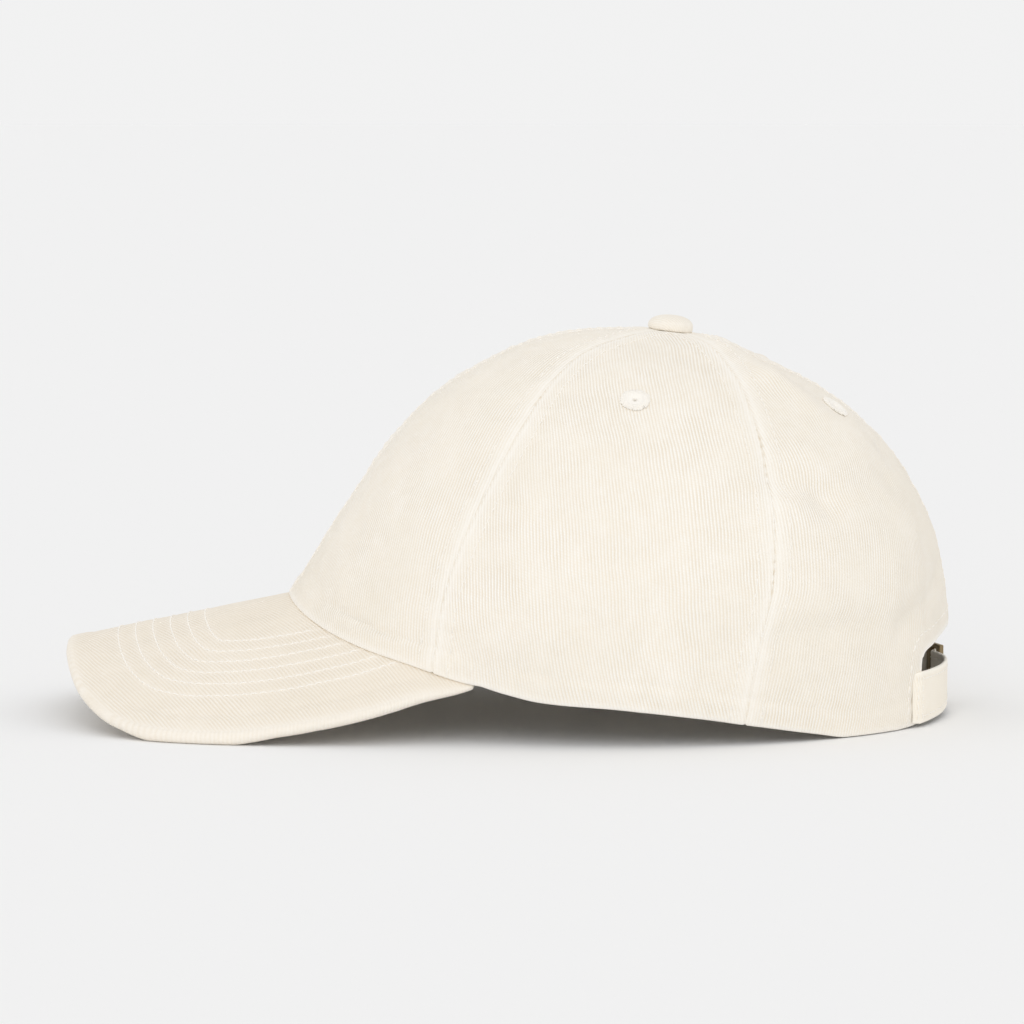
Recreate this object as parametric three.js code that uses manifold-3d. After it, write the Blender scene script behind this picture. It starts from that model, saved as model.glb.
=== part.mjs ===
// Cream six-panel cotton cap with a soft crown, a curved brim and a strap at the back.
// Millimetres. The brim points along -Y, the wearer's left is +X, up is +Z, and the cap rests on Z = 0.
import * as THREE from 'three';
import Module from 'manifold-3d';

const wasm = await Module();
wasm.setup();

const CLOTH = 1.5;          // crown wall
const SEAM_GAP = 0.3;       // between two pieces that are sewn together
const CROWN_END = 0.981;    // the panels stop round the button's shank
const PUFF = 0.9;           // how far a panel swells between its seams
const EYELET_HOLE = 2.9;    // hole in the cloth under an eyelet
const EYELET_GAP = 0.6;     // between the curved cloth and an eyelet's flat ring
const BUTTON_LEAN = 0.07;   // the top of the crown leans back a little, radians

// Sections from the rim up to the button: the front and back points in the middle plane, the half
// width and the place of the widest point, how square the back is, and the two seam angles,
// counted in degrees from the front to the back.
const SECTION_SIZES = [
  'frontY', 'frontZ', 'backY', 'backZ', 'half', 'midY', 'midZ', 'square', 'seamA', 'seamB',
];
const SECTIONS = [
  [-68.2, 35.5, 137.0, 4.5, 83.2, 34, 11.0, 0, 56.5, 110.5],
  [-58.9, 51.8, 136.9, 24.7, 83.8, 37, 30.9, 0.01, 54, 111.5],
  [-48.2, 68.2, 135.6, 44.6, 82.4, 39.5, 50.0, 0.02, 53, 113.5],
  [-36.8, 84.4, 129.9, 63.7, 76.6, 42, 68.5, 0.03, 53.5, 114.5],
  [-23.4, 98.9, 119.7, 80.9, 66.8, 44.5, 85.0, 0.05, 53.5, 115],
  [-6.7, 109.6, 105.5, 95.4, 53.5, 46.5, 99.2, 0.06, 51, 116],
  [11.5, 116.9, 88.2, 106.3, 37.3, 48.5, 109.8, 0.05, 49, 119],
  [31.0, 119.4, 69.8, 114.9, 19.0, 50, 116.6, 0.02, 52, 122],
  [50.5, 119.0, 50.5, 119.0, 0, 50.5, 119.0, 0, 58, 123],
].map((row) => Object.fromEntries(row.map((size, i) => [SECTION_SIZES[i], size])));
const APEX = [0, 50.5, 119.0];

// Height of the crown's lower edge behind the brim, from the brim's corner to the middle of the back.
const RIM = [
  { y: -8, z: 17.0 },
  { y: -2, z: 15.3 },
  { y: 9.5, z: 12.8 },
  { y: 33, z: 11.0 },
  { y: 57, z: 8.1 },
  { y: 75, z: 5.0 },
  { y: 93, z: 1.6 },
  { y: 101, z: 0 },
  { y: 118, z: 0 },
  { y: 125, z: 0.9 },
  { y: 137, z: 4.5 },
];
const BRIM_CORNER = -8;

// Soft folds and dents of one half: from and to (angle in degrees, height share), width, height in mm.
const FOLDS = [
  { fromA: 139, fromT: 0.85, toA: 134, toT: 0.73, width: 7, height: 1.6 },
  { fromA: 134, fromT: 0.73, toA: 140, toT: 0.635, width: 6.5, height: 1.8 },
  { fromA: 158, fromT: 0.81, toA: 154, toT: 0.7, width: 8, height: -1.8 },
  { fromA: 117, fromT: 0.48, toA: 128, toT: 0.435, width: 6, height: -1.4 },
  { fromA: 128, fromT: 0.435, toA: 150, toT: 0.46, width: 7, height: -1.2 },
  { fromA: 145, fromT: 0.175, toA: 166, toT: 0.25, width: 5, height: -1.6 },
  { fromA: 118, fromT: 0.16, toA: 134, toT: 0.18, width: 6, height: -0.8 },
  { fromA: 60, fromT: 0.045, toA: 68, toT: 0.02, width: 5, height: -0.8 },
];

// Brim: outline of one half from the front middle to the corner, and the shape of its upper face.
const BRIM_EDGE = [
  { x: 0, y: -137.5 },
  { x: 22.2, y: -135.8 },
  { x: 44.7, y: -129.8 },
  { x: 61, y: -120 },
  { x: 70.8, y: -107 },
  { x: 76.7, y: -92 },
  { x: 79.9, y: -75 },
  { x: 80.9, y: -58 },
  { x: 80.2, y: -42 },
  { x: 77, y: -24 },
  { x: 75.2, y: -11.5 },
];
const BRIM_THICK = 3.3;
const BRIM_TOP = 36.8;       // upper face at the crown, in the middle
const BRIM_TOP_Y = -68.3;
const BRIM_SLOPE = 0.2;
const BRIM_DROP = 30.2;      // how much lower the upper face is at BRIM_DROP_X
const BRIM_DROP_X = 77;
const BRIM_ROUND = 0.12;
const BRIM_TUCK = 3.5;       // margin under the crown's edge

// Opening in the back: half width, height of its corner, and its arch.
const OPENING_HALF = 38.5;
const OPENING_ARCH = [
  [38.5, 20.8], [37.8, 22.0], [36, 22.9], [33, 23.7], [29, 24.7], [23, 26], [12, 27.8], [0, 28.5],
];

const EYELETS = { side: { a: 81, t: 0.623 }, back: { a: 152, t: 0.634 } };

const STRAP_THICK = 1.3;
const STRAP_TOP = 17.2;
const STRAP_END = 43;        // the strap's ends lie on the panels, this far from the middle
const STRAP_LOW = [
  { x: -43, z: 1.0 },
  { x: -30, z: 2.4 },
  { x: -8, z: 2.4 },
  { x: 0, z: 2.8 },
  { x: 20, z: 1.9 },
  { x: 43, z: 1.0 },
];
const BUCKLE = { x: -19, length: 19, height: 18.6, middle: 9.8, bar: 3, rail: 1.6, thick: 1.6 };

const RAD = Math.PI / 180;
const lerp = (a, b, f) => a + (b - a) * f;
const add = (p, d, s = 1) => [p[0] + d[0] * s, p[1] + d[1] * s, p[2] + d[2] * s];
const sub = (p, q) => [p[0] - q[0], p[1] - q[1], p[2] - q[2]];
const dot = (p, q) => p[0] * q[0] + p[1] * q[1] + p[2] * q[2];
const unit = (p) => p.map((v) => v / Math.hypot(...p));
const cross = (p, q) => [p[1] * q[2] - p[2] * q[1], p[2] * q[0] - p[0] * q[2], p[0] * q[1] - p[1] * q[0]];

// Smooth value of a table's column between its rows.
function column(rows, key, name, x) {
  const n = rows.length;
  let k = 0;
  while (k < n - 2 && x > rows[k + 1][key]) k += 1;
  const at = (i) => rows[Math.min(Math.max(i, 0), n - 1)];
  const slope = (i) => {
    const a = at(i - 1);
    const b = at(i + 1);
    return (b[name] - a[name]) / (b[key] - a[key]);
  };
  const span = rows[k + 1][key] - rows[k][key];
  const f = Math.min(Math.max((x - rows[k][key]) / span, 0), 1);
  const m0 = slope(k) * span;
  const m1 = slope(k + 1) * span;
  const d = rows[k + 1][name] - rows[k][name];
  return rows[k][name] + f * (m0 + f * (3 * d - 2 * m0 - m1 + f * (m0 + m1 - 2 * d)));
}

// The section at a height share t, with the rows running on over the top to the other side.
const TOP_STEPS = SECTIONS.length - 1;
const nextToTop = SECTIONS[TOP_STEPS - 1];
const sectionRows = [
  Object.fromEntries(SECTION_SIZES.map((k) => [k, 2 * SECTIONS[0][k] - SECTIONS[1][k]])),
  ...SECTIONS,
  {
    ...nextToTop,
    frontY: nextToTop.backY,
    frontZ: nextToTop.backZ,
    backY: nextToTop.frontY,
    backZ: nextToTop.frontZ,
    half: -nextToTop.half,
  },
];
function section(t) {
  const k = Math.min(Math.max(Math.floor(t * TOP_STEPS), 0), TOP_STEPS - 1);
  const f = t * TOP_STEPS - k;
  const [p, q, r, s] = sectionRows.slice(k, k + 4);
  const blend = (c) => 0.5 * (2 * q[c] + f * (r[c] - p[c]
    + f * (2 * p[c] - 5 * q[c] + 4 * r[c] - s[c] + f * (3 * q[c] - p[c] - 3 * r[c] + s[c]))));
  return Object.fromEntries(SECTION_SIZES.map((c) => [c, blend(c)]));
}

// Upper face of the brim.
function brimTop(x, y) {
  const power = 1.61 + 0.19 * (y - BRIM_TOP_Y) / 70;
  const across = (x / BRIM_DROP_X) ** 2 + BRIM_ROUND ** 2;
  const drop = BRIM_DROP * (across ** (power / 2) - BRIM_ROUND ** power);
  const corner = 3.4 * Math.exp(-((Math.abs(x) - 76) ** 2 + (y - BRIM_CORNER) ** 2) / 260);
  return BRIM_TOP + BRIM_SLOPE * (y - BRIM_TOP_Y) - drop - corner;
}

// Lower edge of the crown: it stands on the brim in front, and follows the rim line behind.
function rimZ(x, y) {
  if (y < BRIM_CORNER) return brimTop(x, y) + SEAM_GAP + 0.45 * Math.exp(-((y - BRIM_CORNER) ** 2) / 120);
  return Math.max(column(RIM, 'y', 'z', y), 0);
}

// Plain crown surface: angle a from the front (radians), height share t.
function crown(a, t) {
  const s = section(t);
  const c = Math.cos(a);
  const swell = 1 + (c < 0 ? s.square : 0) * Math.sin(2 * a) ** 2;
  const x = s.half * Math.sin(a) * swell;
  const reach = c > 0 ? s.frontY - s.midY : s.midY - s.backY;
  const p = reach * c * swell;
  const f = s.frontY - s.midY;
  const b = s.backY - s.midY;
  let z = s.frontZ;
  if (t < 0.9995) {
    z = s.frontZ * p * (p - b) / (f * (f - b))
      + s.midZ * (p - f) * (p - b) / (f * b)
      + s.backZ * p * (p - f) / (b * (b - f));
  }
  return [x, s.midY + p, z];
}

// The same surface brought down or up to the rim line over its lowest eighth.
function crownOnRim(a, t) {
  const p = crown(a, t);
  const near = Math.max(1 - t * TOP_STEPS, 0) ** 2;
  if (near === 0) return p;
  const foot = crown(a, 0);
  return [p[0], p[1], p[2] + near * (rimZ(foot[0], foot[1]) - foot[2])];
}

function normalAt(a, t) {
  const h = 0.004;
  const t0 = Math.max(t - h, 0.001);
  const t1 = Math.min(t + h, 0.996);
  const across = sub(crown(a + h, Math.min(t, 0.99)), crown(a - h, Math.min(t, 0.99)));
  const up = sub(crown(a, t1), crown(a, t0));
  return unit(cross(across, up));
}

const foldLines = FOLDS.map((f) => ({
  ...f,
  from: crown(f.fromA * RAD, f.fromT),
  to: crown(f.toA * RAD, f.toT),
}));
function foldHeight(p) {
  let sum = 0;
  for (const f of foldLines) {
    const along = sub(f.to, f.from);
    const share = Math.min(Math.max(dot(sub(p, f.from), along) / dot(along, along), 0), 1);
    const off = sub(p, add(f.from, along, share));
    sum += f.height * Math.exp(-dot(off, off) / (f.width * f.width));
  }
  return sum;
}

// The cloth stays flat round an eyelet.
const eyeletPoints = Object.values(EYELETS).map((e) => crown(e.a * RAD, e.t));
function awayFromEyelets(p) {
  let calm = 1;
  for (const e of eyeletPoints) {
    const off = sub(p, e);
    calm *= 1 - Math.exp(-dot(off, off) / 110);
  }
  return calm;
}

// Outer face of a panel. side is how far across the panel the point lies, 0 to 1.
function outerPoint(a, t, side) {
  const p = crownOnRim(a, t);
  const calm = Math.min(Math.max((t - 0.08) * 8, 0), 1) * Math.min((1 - t) * 8, 1);
  const puff = PUFF * Math.sin(Math.PI * side) * Math.sin(Math.PI * Math.min(t * 1.2, 1) * 0.9);
  return add(p, normalAt(a, t), puff * calm + foldHeight(p) * awayFromEyelets(p) * Math.min(t * 20, 1));
}

// Closed solid between two grids of points, the first grid being the outer face.
function shell(outer, inner) {
  const rows = outer.length;
  const cols = outer[0].length;
  const position = [];
  for (const grid of [outer, inner]) {
    for (const row of grid) for (const p of row) position.push(...p);
  }
  const at = (layer, i, j) => layer * rows * cols + i * cols + j;
  const index = [];
  const quad = (a, b, c, d) => index.push(a, b, c, a, c, d);
  for (let i = 0; i < rows - 1; i += 1) {
    for (let j = 0; j < cols - 1; j += 1) {
      quad(at(0, i, j), at(0, i, j + 1), at(0, i + 1, j + 1), at(0, i + 1, j));
      quad(at(1, i, j), at(1, i + 1, j), at(1, i + 1, j + 1), at(1, i, j + 1));
    }
  }
  for (let j = 0; j < cols - 1; j += 1) {
    quad(at(0, 0, j), at(1, 0, j), at(1, 0, j + 1), at(0, 0, j + 1));
    quad(at(0, rows - 1, j), at(0, rows - 1, j + 1), at(1, rows - 1, j + 1), at(1, rows - 1, j));
  }
  for (let i = 0; i < rows - 1; i += 1) {
    quad(at(0, i, 0), at(0, i + 1, 0), at(1, i + 1, 0), at(1, i, 0));
    quad(at(0, i, cols - 1), at(1, i, cols - 1), at(1, i + 1, cols - 1), at(0, i + 1, cols - 1));
  }
  const geometry = new THREE.BufferGeometry();
  geometry.setAttribute('position', new THREE.Float32BufferAttribute(position, 3));
  geometry.setIndex(index);
  return geometry;
}

function toSolid(geometry) {
  return new wasm.Manifold(new wasm.Mesh({
    numProp: 3,
    vertProperties: Float32Array.from(geometry.attributes.position.array),
    triVerts: Uint32Array.from(geometry.index.array),
  }));
}

function fromSolid(solid) {
  const mesh = solid.getMesh();
  const geometry = new THREE.BufferGeometry();
  geometry.setAttribute('position', new THREE.BufferAttribute(Float32Array.from(mesh.vertProperties), 3));
  geometry.setIndex(new THREE.BufferAttribute(Uint32Array.from(mesh.triVerts), 1));
  return geometry;
}

function mirrored(geometry) {
  const copy = geometry.clone().scale(-1, 1, 1);
  const index = copy.index.array;
  for (let i = 0; i < index.length; i += 3) [index[i], index[i + 1]] = [index[i + 1], index[i]];
  return copy;
}

// One panel of the left half between two seams, given as functions of the section.
function panel(seamFrom, seamTo, across, up) {
  const outer = [];
  const inner = [];
  for (let i = 0; i <= up; i += 1) {
    const t = CROWN_END * i / up;
    const s = section(t);
    const size = Math.max(s.half, 3);
    const inset = SEAM_GAP / 2 / size;
    const a0 = seamFrom(s) * RAD + inset;
    const a1 = seamTo(s) * RAD - inset;
    const outerRow = [];
    const innerRow = [];
    for (let j = 0; j <= across; j += 1) {
      const side = j / across;
      const a = lerp(a0, a1, side);
      const p = outerPoint(a, t, side);
      const q = add(p, normalAt(a, t), -CLOTH);
      if (i === 0) {
        p[2] = rimZ(p[0], p[1]);
        q[2] = rimZ(q[0], q[1]);
      }
      outerRow.push(p);
      innerRow.push(q);
    }
    outer.push(outerRow);
    inner.push(innerRow);
  }
  return shell(outer, inner);
}

function eyeletPlace(eyelet) {
  const s = section(eyelet.t);
  const [from, to] = eyelet.a < s.seamB ? [s.seamA, s.seamB] : [s.seamB, 180];
  const at = (a, t) => outerPoint(a * RAD, t, (a - from) / (to - from));
  const across = sub(at(eyelet.a + 3, eyelet.t), at(eyelet.a - 3, eyelet.t));
  const up = sub(at(eyelet.a, eyelet.t + 0.02), at(eyelet.a, eyelet.t - 0.02));
  return { centre: at(eyelet.a, eyelet.t), normal: unit(cross(across, up)) };
}

// A body turned round its axis, from a closed profile of [radius, height] points.
function turned(profile, segments, centre, normal) {
  const points = [...profile, profile[0]];
  const position = [];
  const index = [];
  const up = new THREE.Vector3(0, 0, 1);
  const axis = new THREE.Quaternion().setFromUnitVectors(up, new THREE.Vector3(...normal));
  const origin = new THREE.Vector3(...centre);
  for (let k = 0; k < segments; k += 1) {
    const turn = 2 * Math.PI * k / segments;
    for (const [r, h] of profile) {
      const p = new THREE.Vector3(r * Math.cos(turn), r * Math.sin(turn), h);
      p.applyQuaternion(axis).add(origin);
      position.push(p.x, p.y, p.z);
    }
  }
  const n = profile.length;
  for (let k = 0; k < segments; k += 1) {
    const next = (k + 1) % segments;
    for (let i = 0; i < points.length - 1; i += 1) {
      const j = (i + 1) % n;
      index.push(k * n + i, next * n + i, next * n + j);
      index.push(k * n + i, next * n + j, k * n + j);
    }
  }
  const geometry = new THREE.BufferGeometry();
  geometry.setAttribute('position', new THREE.Float32BufferAttribute(position, 3));
  geometry.setIndex(index);
  return welded(geometry);
}

function eyelet(place) {
  const under = -CLOTH - EYELET_GAP;
  const profile = [
    [1.2, under - 0.5],
    [3.8, under - 0.5],
    [3.8, under],
    [2.5, under],
    [2.5, EYELET_GAP],
    [4.35, EYELET_GAP],
    [4.1, 0.95],
    [2.7, 1.3],
    [1.2, 0.9],
  ];
  return turned(profile, 12, place.centre, place.normal);
}

function eyeletHole(place) {
  const r = EYELET_HOLE;
  const hole = [[0, -6], [r, -6], [r, 6], [0, 6]];
  return toSolid(turned(hole, 12, place.centre, place.normal));
}

function frontPanel() {
  return panel(() => 0, (s) => s.seamA, 12, 18);
}

function sidePanel() {
  const plain = toSolid(panel((s) => s.seamA, (s) => s.seamB, 12, 18));
  return fromSolid(plain.subtract(eyeletHole(eyeletPlace(EYELETS.side))));
}

function openingCut() {
  const shape = new THREE.Shape();
  shape.moveTo(-OPENING_HALF, -6);
  shape.lineTo(OPENING_HALF, -6);
  for (const [x, z] of OPENING_ARCH) shape.lineTo(x, z);
  for (const [x, z] of OPENING_ARCH.slice(0, -1).reverse()) shape.lineTo(-x, z);
  shape.closePath();
  const block = new THREE.ExtrudeGeometry(shape, { depth: 70, bevelEnabled: false, steps: 1 });
  block.rotateX(Math.PI / 2).translate(0, 160, 0);
  return toSolid(welded(block));
}

function welded(geometry) {
  const position = geometry.attributes.position;
  const seen = new Map();
  const points = [];
  const index = [];
  const count = geometry.index ? geometry.index.count : position.count;
  for (let i = 0; i < count; i += 1) {
    const v = geometry.index ? geometry.index.getX(i) : i;
    const p = [position.getX(v), position.getY(v), position.getZ(v)];
    const key = p.map((c) => Math.round(c * 1e4)).join(' ');
    if (!seen.has(key)) {
      seen.set(key, points.length / 3);
      points.push(...p);
    }
    index.push(seen.get(key));
  }
  const faces = [];
  for (let i = 0; i < index.length; i += 3) {
    const [a, b, c] = index.slice(i, i + 3);
    if (a !== b && b !== c && c !== a) faces.push(a, b, c);
  }
  const joined = new THREE.BufferGeometry();
  joined.setAttribute('position', new THREE.Float32BufferAttribute(points, 3));
  joined.setIndex(faces);
  return joined;
}

function backPanel() {
  const plain = toSolid(panel((s) => s.seamB, () => 180, 13, 20));
  const open = plain.subtract(openingCut());
  return fromSolid(open.subtract(eyeletHole(eyeletPlace(EYELETS.back))));
}

// The brim's outline as a smooth curve, share 0 at the front middle and 1 at the corner.
const edgeCurve = new THREE.CatmullRomCurve3(
  [...BRIM_EDGE.slice(1).reverse().map((p) => new THREE.Vector3(-p.x, p.y, 0)),
    ...BRIM_EDGE.map((p) => new THREE.Vector3(p.x, p.y, 0))],
);

function rimInset(a, inset) {
  const h = 0.01;
  const p = crown(a, 0);
  const along = sub(crown(a + h, 0), crown(a - h, 0));
  const out = unit([along[1], -along[0], 0]);
  return add(p, out, -inset);
}

function cornerAngle() {
  let a = 40 * RAD;
  while (crown(a, 0)[1] < BRIM_CORNER - 3.5) a += 0.2 * RAD;
  return a;
}

// The underside is pressed flat where it comes within a millimetre of the table.
function pressed(z) {
  const high = 2.4;
  return z > high ? z : Math.max((z - 1) * high / (high - 1), 0);
}

function brim() {
  const across = 52;
  const out = 10;
  const corner = cornerAngle();
  const top = [];
  const under = [];
  for (let i = 0; i <= out; i += 1) {
    const reach = Math.sin(Math.PI / 2 * i / out) ** 1.2;
    const topRow = [];
    const underRow = [];
    for (let j = 0; j <= across; j += 1) {
      const s = 1 - 2 * j / across;
      const p = rimInset(Math.abs(s) * corner, BRIM_TUCK);
      const q = edgeCurve.getPointAt((1 + s) / 2);
      const x = lerp(Math.sign(s) * p[0], q.x, reach);
      const y = lerp(p[1], q.y, reach);
      const taper = Math.min(Math.abs(Math.abs(s) - 1) * 8, 1);
      const z = brimTop(x, y);
      topRow.push([x, y, z]);
      underRow.push([x, y, pressed(z - lerp(1.6, BRIM_THICK, taper))]);
    }
    top.push(topRow);
    under.push(underRow);
  }
  return shell(top, under);
}

function topButton() {
  const normal = unit([0, Math.sin(BUTTON_LEAN), Math.cos(BUTTON_LEAN)]);
  const under = -CLOTH - 0.35;
  const profile = [
    [0, under - 0.8],
    [4.2, under - 0.8],
    [4.2, under],
    [2.2, under],
    [2.2, 0.35],
    [6.5, 0.35],
    [7.0, 1.1],
    [6.8, 2.3],
    [5.6, 3.6],
    [3.2, 4.6],
    [0, 4.9],
  ];
  return turned(profile, 20, APEX, normal);
}

// Outer face of the crown in plan where the strap runs.
const strapRing = section(0.06);
function strapY(x) {
  return strapRing.midY + (strapRing.backY - strapRing.midY) * Math.sqrt(1 - (x / strapRing.half) ** 2);
}
function strapPoint(x, offset) {
  const h = 0.5;
  const out = unit([strapY(x - h) - strapY(x + h), 2 * h, 0]);
  return [x + out[0] * offset, strapY(x) + out[1] * offset];
}

// The buckle's own frame in plan: e runs towards +X along the strap, n points away from the head.
const buckleFrom = strapPoint(BUCKLE.x - 14, -0.3);
const buckleTo = strapPoint(BUCKLE.x + 14, -0.3);
const buckleE = unit([buckleTo[0] - buckleFrom[0], buckleTo[1] - buckleFrom[1], 0]);
const buckleN = [-buckleE[1], buckleE[0], 0];
const buckleOut = BUCKLE.thick / 2 + 0.3 + STRAP_THICK / 2;
function atBuckle(e, n) {
  const x = (buckleFrom[0] + buckleTo[0]) / 2;
  const y = (buckleFrom[1] + buckleTo[1]) / 2;
  return [
    x + buckleE[0] * e + buckleN[0] * (n + buckleOut),
    y + buckleE[1] * e + buckleN[1] * (n + buckleOut),
  ];
}

// A band that stands on edge: its middle line in plan, its thickness, and its low and high edges.
function band(path, thick) {
  const outer = [[], []];
  const inner = [[], []];
  path.forEach((p, i) => {
    const before = path[Math.max(i - 1, 0)];
    const after = path[Math.min(i + 1, path.length - 1)];
    const out = unit([before[1] - after[1], after[0] - before[0], 0]);
    const low = column(STRAP_LOW, 'x', 'z', p[0]);
    [low, STRAP_TOP].forEach((z, k) => {
      outer[k].push([p[0] + out[0] * thick / 2, p[1] + out[1] * thick / 2, z]);
      inner[k].push([p[0] - out[0] * thick / 2, p[1] - out[1] * thick / 2, z]);
    });
  });
  return shell(inner, outer);
}

function strapLong() {
  const onPanel = SEAM_GAP + STRAP_THICK / 2 + 0.45;
  const path = [
    ...[[STRAP_END, onPanel], [40, onPanel], [36, 0.8], [30, 0.4], [22, 0.1], [14, -0.1],
      [6, -0.2], [0, -0.3]].map(([x, offset]) => strapPoint(x, offset)),
    ...[[12, -1.75], [8, -1.75], [6.2, -1.7], [4.8, -0.95], [3.4, 0.5], [2.3, 1.5], [1.1, 1.78],
      [-1.1, 1.78], [-2.2, 1.3], [-2.9, 0.1], [-3.4, -1.4], [-4.4, -2.8], [-6.3, -3.5], [-9, -3.6],
      [-13, -3.5], [-17, -3.2]].map(([e, n]) => atBuckle(e, n)),
  ];
  return band(path.reverse(), STRAP_THICK);
}

function strapTab() {
  const onPanel = SEAM_GAP + STRAP_THICK / 2 + 0.45;
  const path = [
    ...[[-STRAP_END, onPanel], [-40, onPanel], [-36.5, 1.3]]
      .map(([x, offset]) => strapPoint(x, offset)),
    ...[[-13, 0.95], [-11, 1.6], [-9.4, 1.78], [-6.8, 1.75], [-5.7, 1.2], [-5.2, 0], [-5.7, -1.2],
      [-6.8, -1.75], [-9.4, -1.78], [-11, -1.6], [-13, -1.0], [-16, -0.9]]
      .map(([e, n]) => atBuckle(e, n)),
  ];
  return band(path, STRAP_THICK);
}

function block(width, height, depth, x) {
  return toSolid(welded(new THREE.BoxGeometry(width, height, depth).translate(x, 0, 0)));
}

function strapBuckle() {
  const { length, height, bar, rail, thick, middle } = BUCKLE;
  const slot = (length - 3 * bar) / 2;
  let frame = block(length, height, thick, 0);
  for (const side of [-1, 1]) {
    frame = frame.subtract(block(slot, height - 2 * rail, 2 * thick, side * (bar + slot) / 2));
  }
  const place = new THREE.Matrix4().makeBasis(
    new THREE.Vector3(...buckleE),
    new THREE.Vector3(0, 0, 1),
    new THREE.Vector3(-buckleN[0], -buckleN[1], 0),
  );
  const [x, y] = atBuckle(0, 0);
  place.setPosition(x, y, middle);
  return fromSolid(frame).applyMatrix4(place);
}

function addPiece(group, name, geometry, color, roughness, metalness) {
  const material = new THREE.MeshStandardMaterial({ color, roughness, metalness, name: `${name}_look` });
  geometry.computeVertexNormals();
  const mesh = new THREE.Mesh(geometry, material);
  mesh.name = name;
  group.add(mesh);
}

const CREAM = '#f3ecdf';
const CREAM_BRIM = '#eee5d5';
const CREAM_THREAD = '#f5f0e6';
const METAL = '#b3a281';

const cap = new THREE.Group();
cap.name = 'six_panel_cap';
for (const [part, make] of [['front', frontPanel], ['side', sidePanel], ['back', backPanel]]) {
  const left = make();
  addPiece(cap, `crown_${part}_left`, left, CREAM, 0.95, 0);
  addPiece(cap, `crown_${part}_right`, mirrored(left), CREAM, 0.95, 0);
}
addPiece(cap, 'brim', brim(), CREAM_BRIM, 0.95, 0);
addPiece(cap, 'top_button', topButton(), CREAM, 0.9, 0);
for (const where of ['side', 'back']) {
  const left = eyelet(eyeletPlace(EYELETS[where]));
  addPiece(cap, `eyelet_${where}_left`, left, CREAM_THREAD, 0.85, 0);
  addPiece(cap, `eyelet_${where}_right`, mirrored(left), CREAM_THREAD, 0.85, 0);
}
addPiece(cap, 'strap_long', strapLong(), CREAM, 0.95, 0);
addPiece(cap, 'strap_tab', strapTab(), CREAM, 0.95, 0);
addPiece(cap, 'strap_buckle', strapBuckle(), METAL, 0.35, 0.9);

export default cap;
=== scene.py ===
"""Looks of a cream six-panel cotton cap: panels, brim, stitches, eyelets, button, strap and buckle.

Tables and shapes are in millimetres and become metres when a mesh is made.
The brim points along -Y, the wearer's left is +X, up is +Z, and the cap rests on Z = 0.
"""

import math

import bpy
import numpy as np
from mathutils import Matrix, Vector


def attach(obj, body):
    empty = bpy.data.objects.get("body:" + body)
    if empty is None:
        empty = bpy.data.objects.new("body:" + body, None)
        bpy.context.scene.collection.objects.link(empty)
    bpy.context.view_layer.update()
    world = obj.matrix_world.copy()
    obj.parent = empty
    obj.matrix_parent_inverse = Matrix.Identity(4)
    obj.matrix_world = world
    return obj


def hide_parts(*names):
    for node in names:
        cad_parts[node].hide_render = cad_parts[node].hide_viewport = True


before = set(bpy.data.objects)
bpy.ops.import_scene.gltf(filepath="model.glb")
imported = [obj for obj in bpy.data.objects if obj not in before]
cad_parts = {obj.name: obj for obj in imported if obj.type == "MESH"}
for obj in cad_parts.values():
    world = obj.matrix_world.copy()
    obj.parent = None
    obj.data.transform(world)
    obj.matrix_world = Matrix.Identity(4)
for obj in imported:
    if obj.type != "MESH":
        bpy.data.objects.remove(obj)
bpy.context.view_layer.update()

MM = 0.001
CLOTH = 1.5
SEAM_GAP = 0.3
CROWN_END = 0.981
PUFF = 0.9
SEAM_ROW = 5.0           # from a seam to the stitches beside it
OPENING_ROW = 6.0        # from the opening's edge to the stitches round it
PANEL_STITCH = (3.1, 2.5, 0.4)      # pitch, length and thickness of the thread
BRIM_STITCH = (2.8, 2.5, 0.55)
STRAP_STITCH = (2.7, 2.05, 0.38)
STITCH_LIFT = 0.05       # how far a stitch lies above the panel's cloth
APEX = np.array([0, 50.5, 119.0])
BUTTON_LEAN = 0.07

# Sections of the crown from the rim up to the button: front y and z, back y and z, half width,
# y and z of the widest point, how square the back is, and the two seam angles in degrees.
SECTIONS = np.array([
    (-68.2, 35.5, 137.0, 4.5, 83.2, 34.0, 11.0, 0.00, 56.5, 110.5),
    (-58.9, 51.8, 136.9, 24.7, 83.8, 37.0, 30.9, 0.01, 54.0, 111.5),
    (-48.2, 68.2, 135.6, 44.6, 82.4, 39.5, 50.0, 0.02, 53.0, 113.5),
    (-36.8, 84.4, 129.9, 63.7, 76.6, 42.0, 68.5, 0.03, 53.5, 114.5),
    (-23.4, 98.9, 119.7, 80.9, 66.8, 44.5, 85.0, 0.05, 53.5, 115.0),
    (-6.7, 109.6, 105.5, 95.4, 53.5, 46.5, 99.2, 0.06, 51.0, 116.0),
    (11.5, 116.9, 88.2, 106.3, 37.3, 48.5, 109.8, 0.05, 49.0, 119.0),
    (31.0, 119.4, 69.8, 114.9, 19.0, 50.0, 116.6, 0.02, 52.0, 122.0),
    (50.5, 119.0, 50.5, 119.0, 0.0, 50.5, 119.0, 0.00, 58.0, 123.0),
])
STEPS = len(SECTIONS) - 1
SEAM_A, SEAM_B = 8, 9

# Height of the crown's lower edge behind the brim, by y.
RIM = [
    (-8, 17.0), (-2, 15.3), (9.5, 12.8), (33, 11.0), (57, 8.1), (75, 5.0), (93, 1.6), (101, 0),
    (118, 0), (125, 0.9), (137, 4.5),
]
BRIM_CORNER = -8

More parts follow.
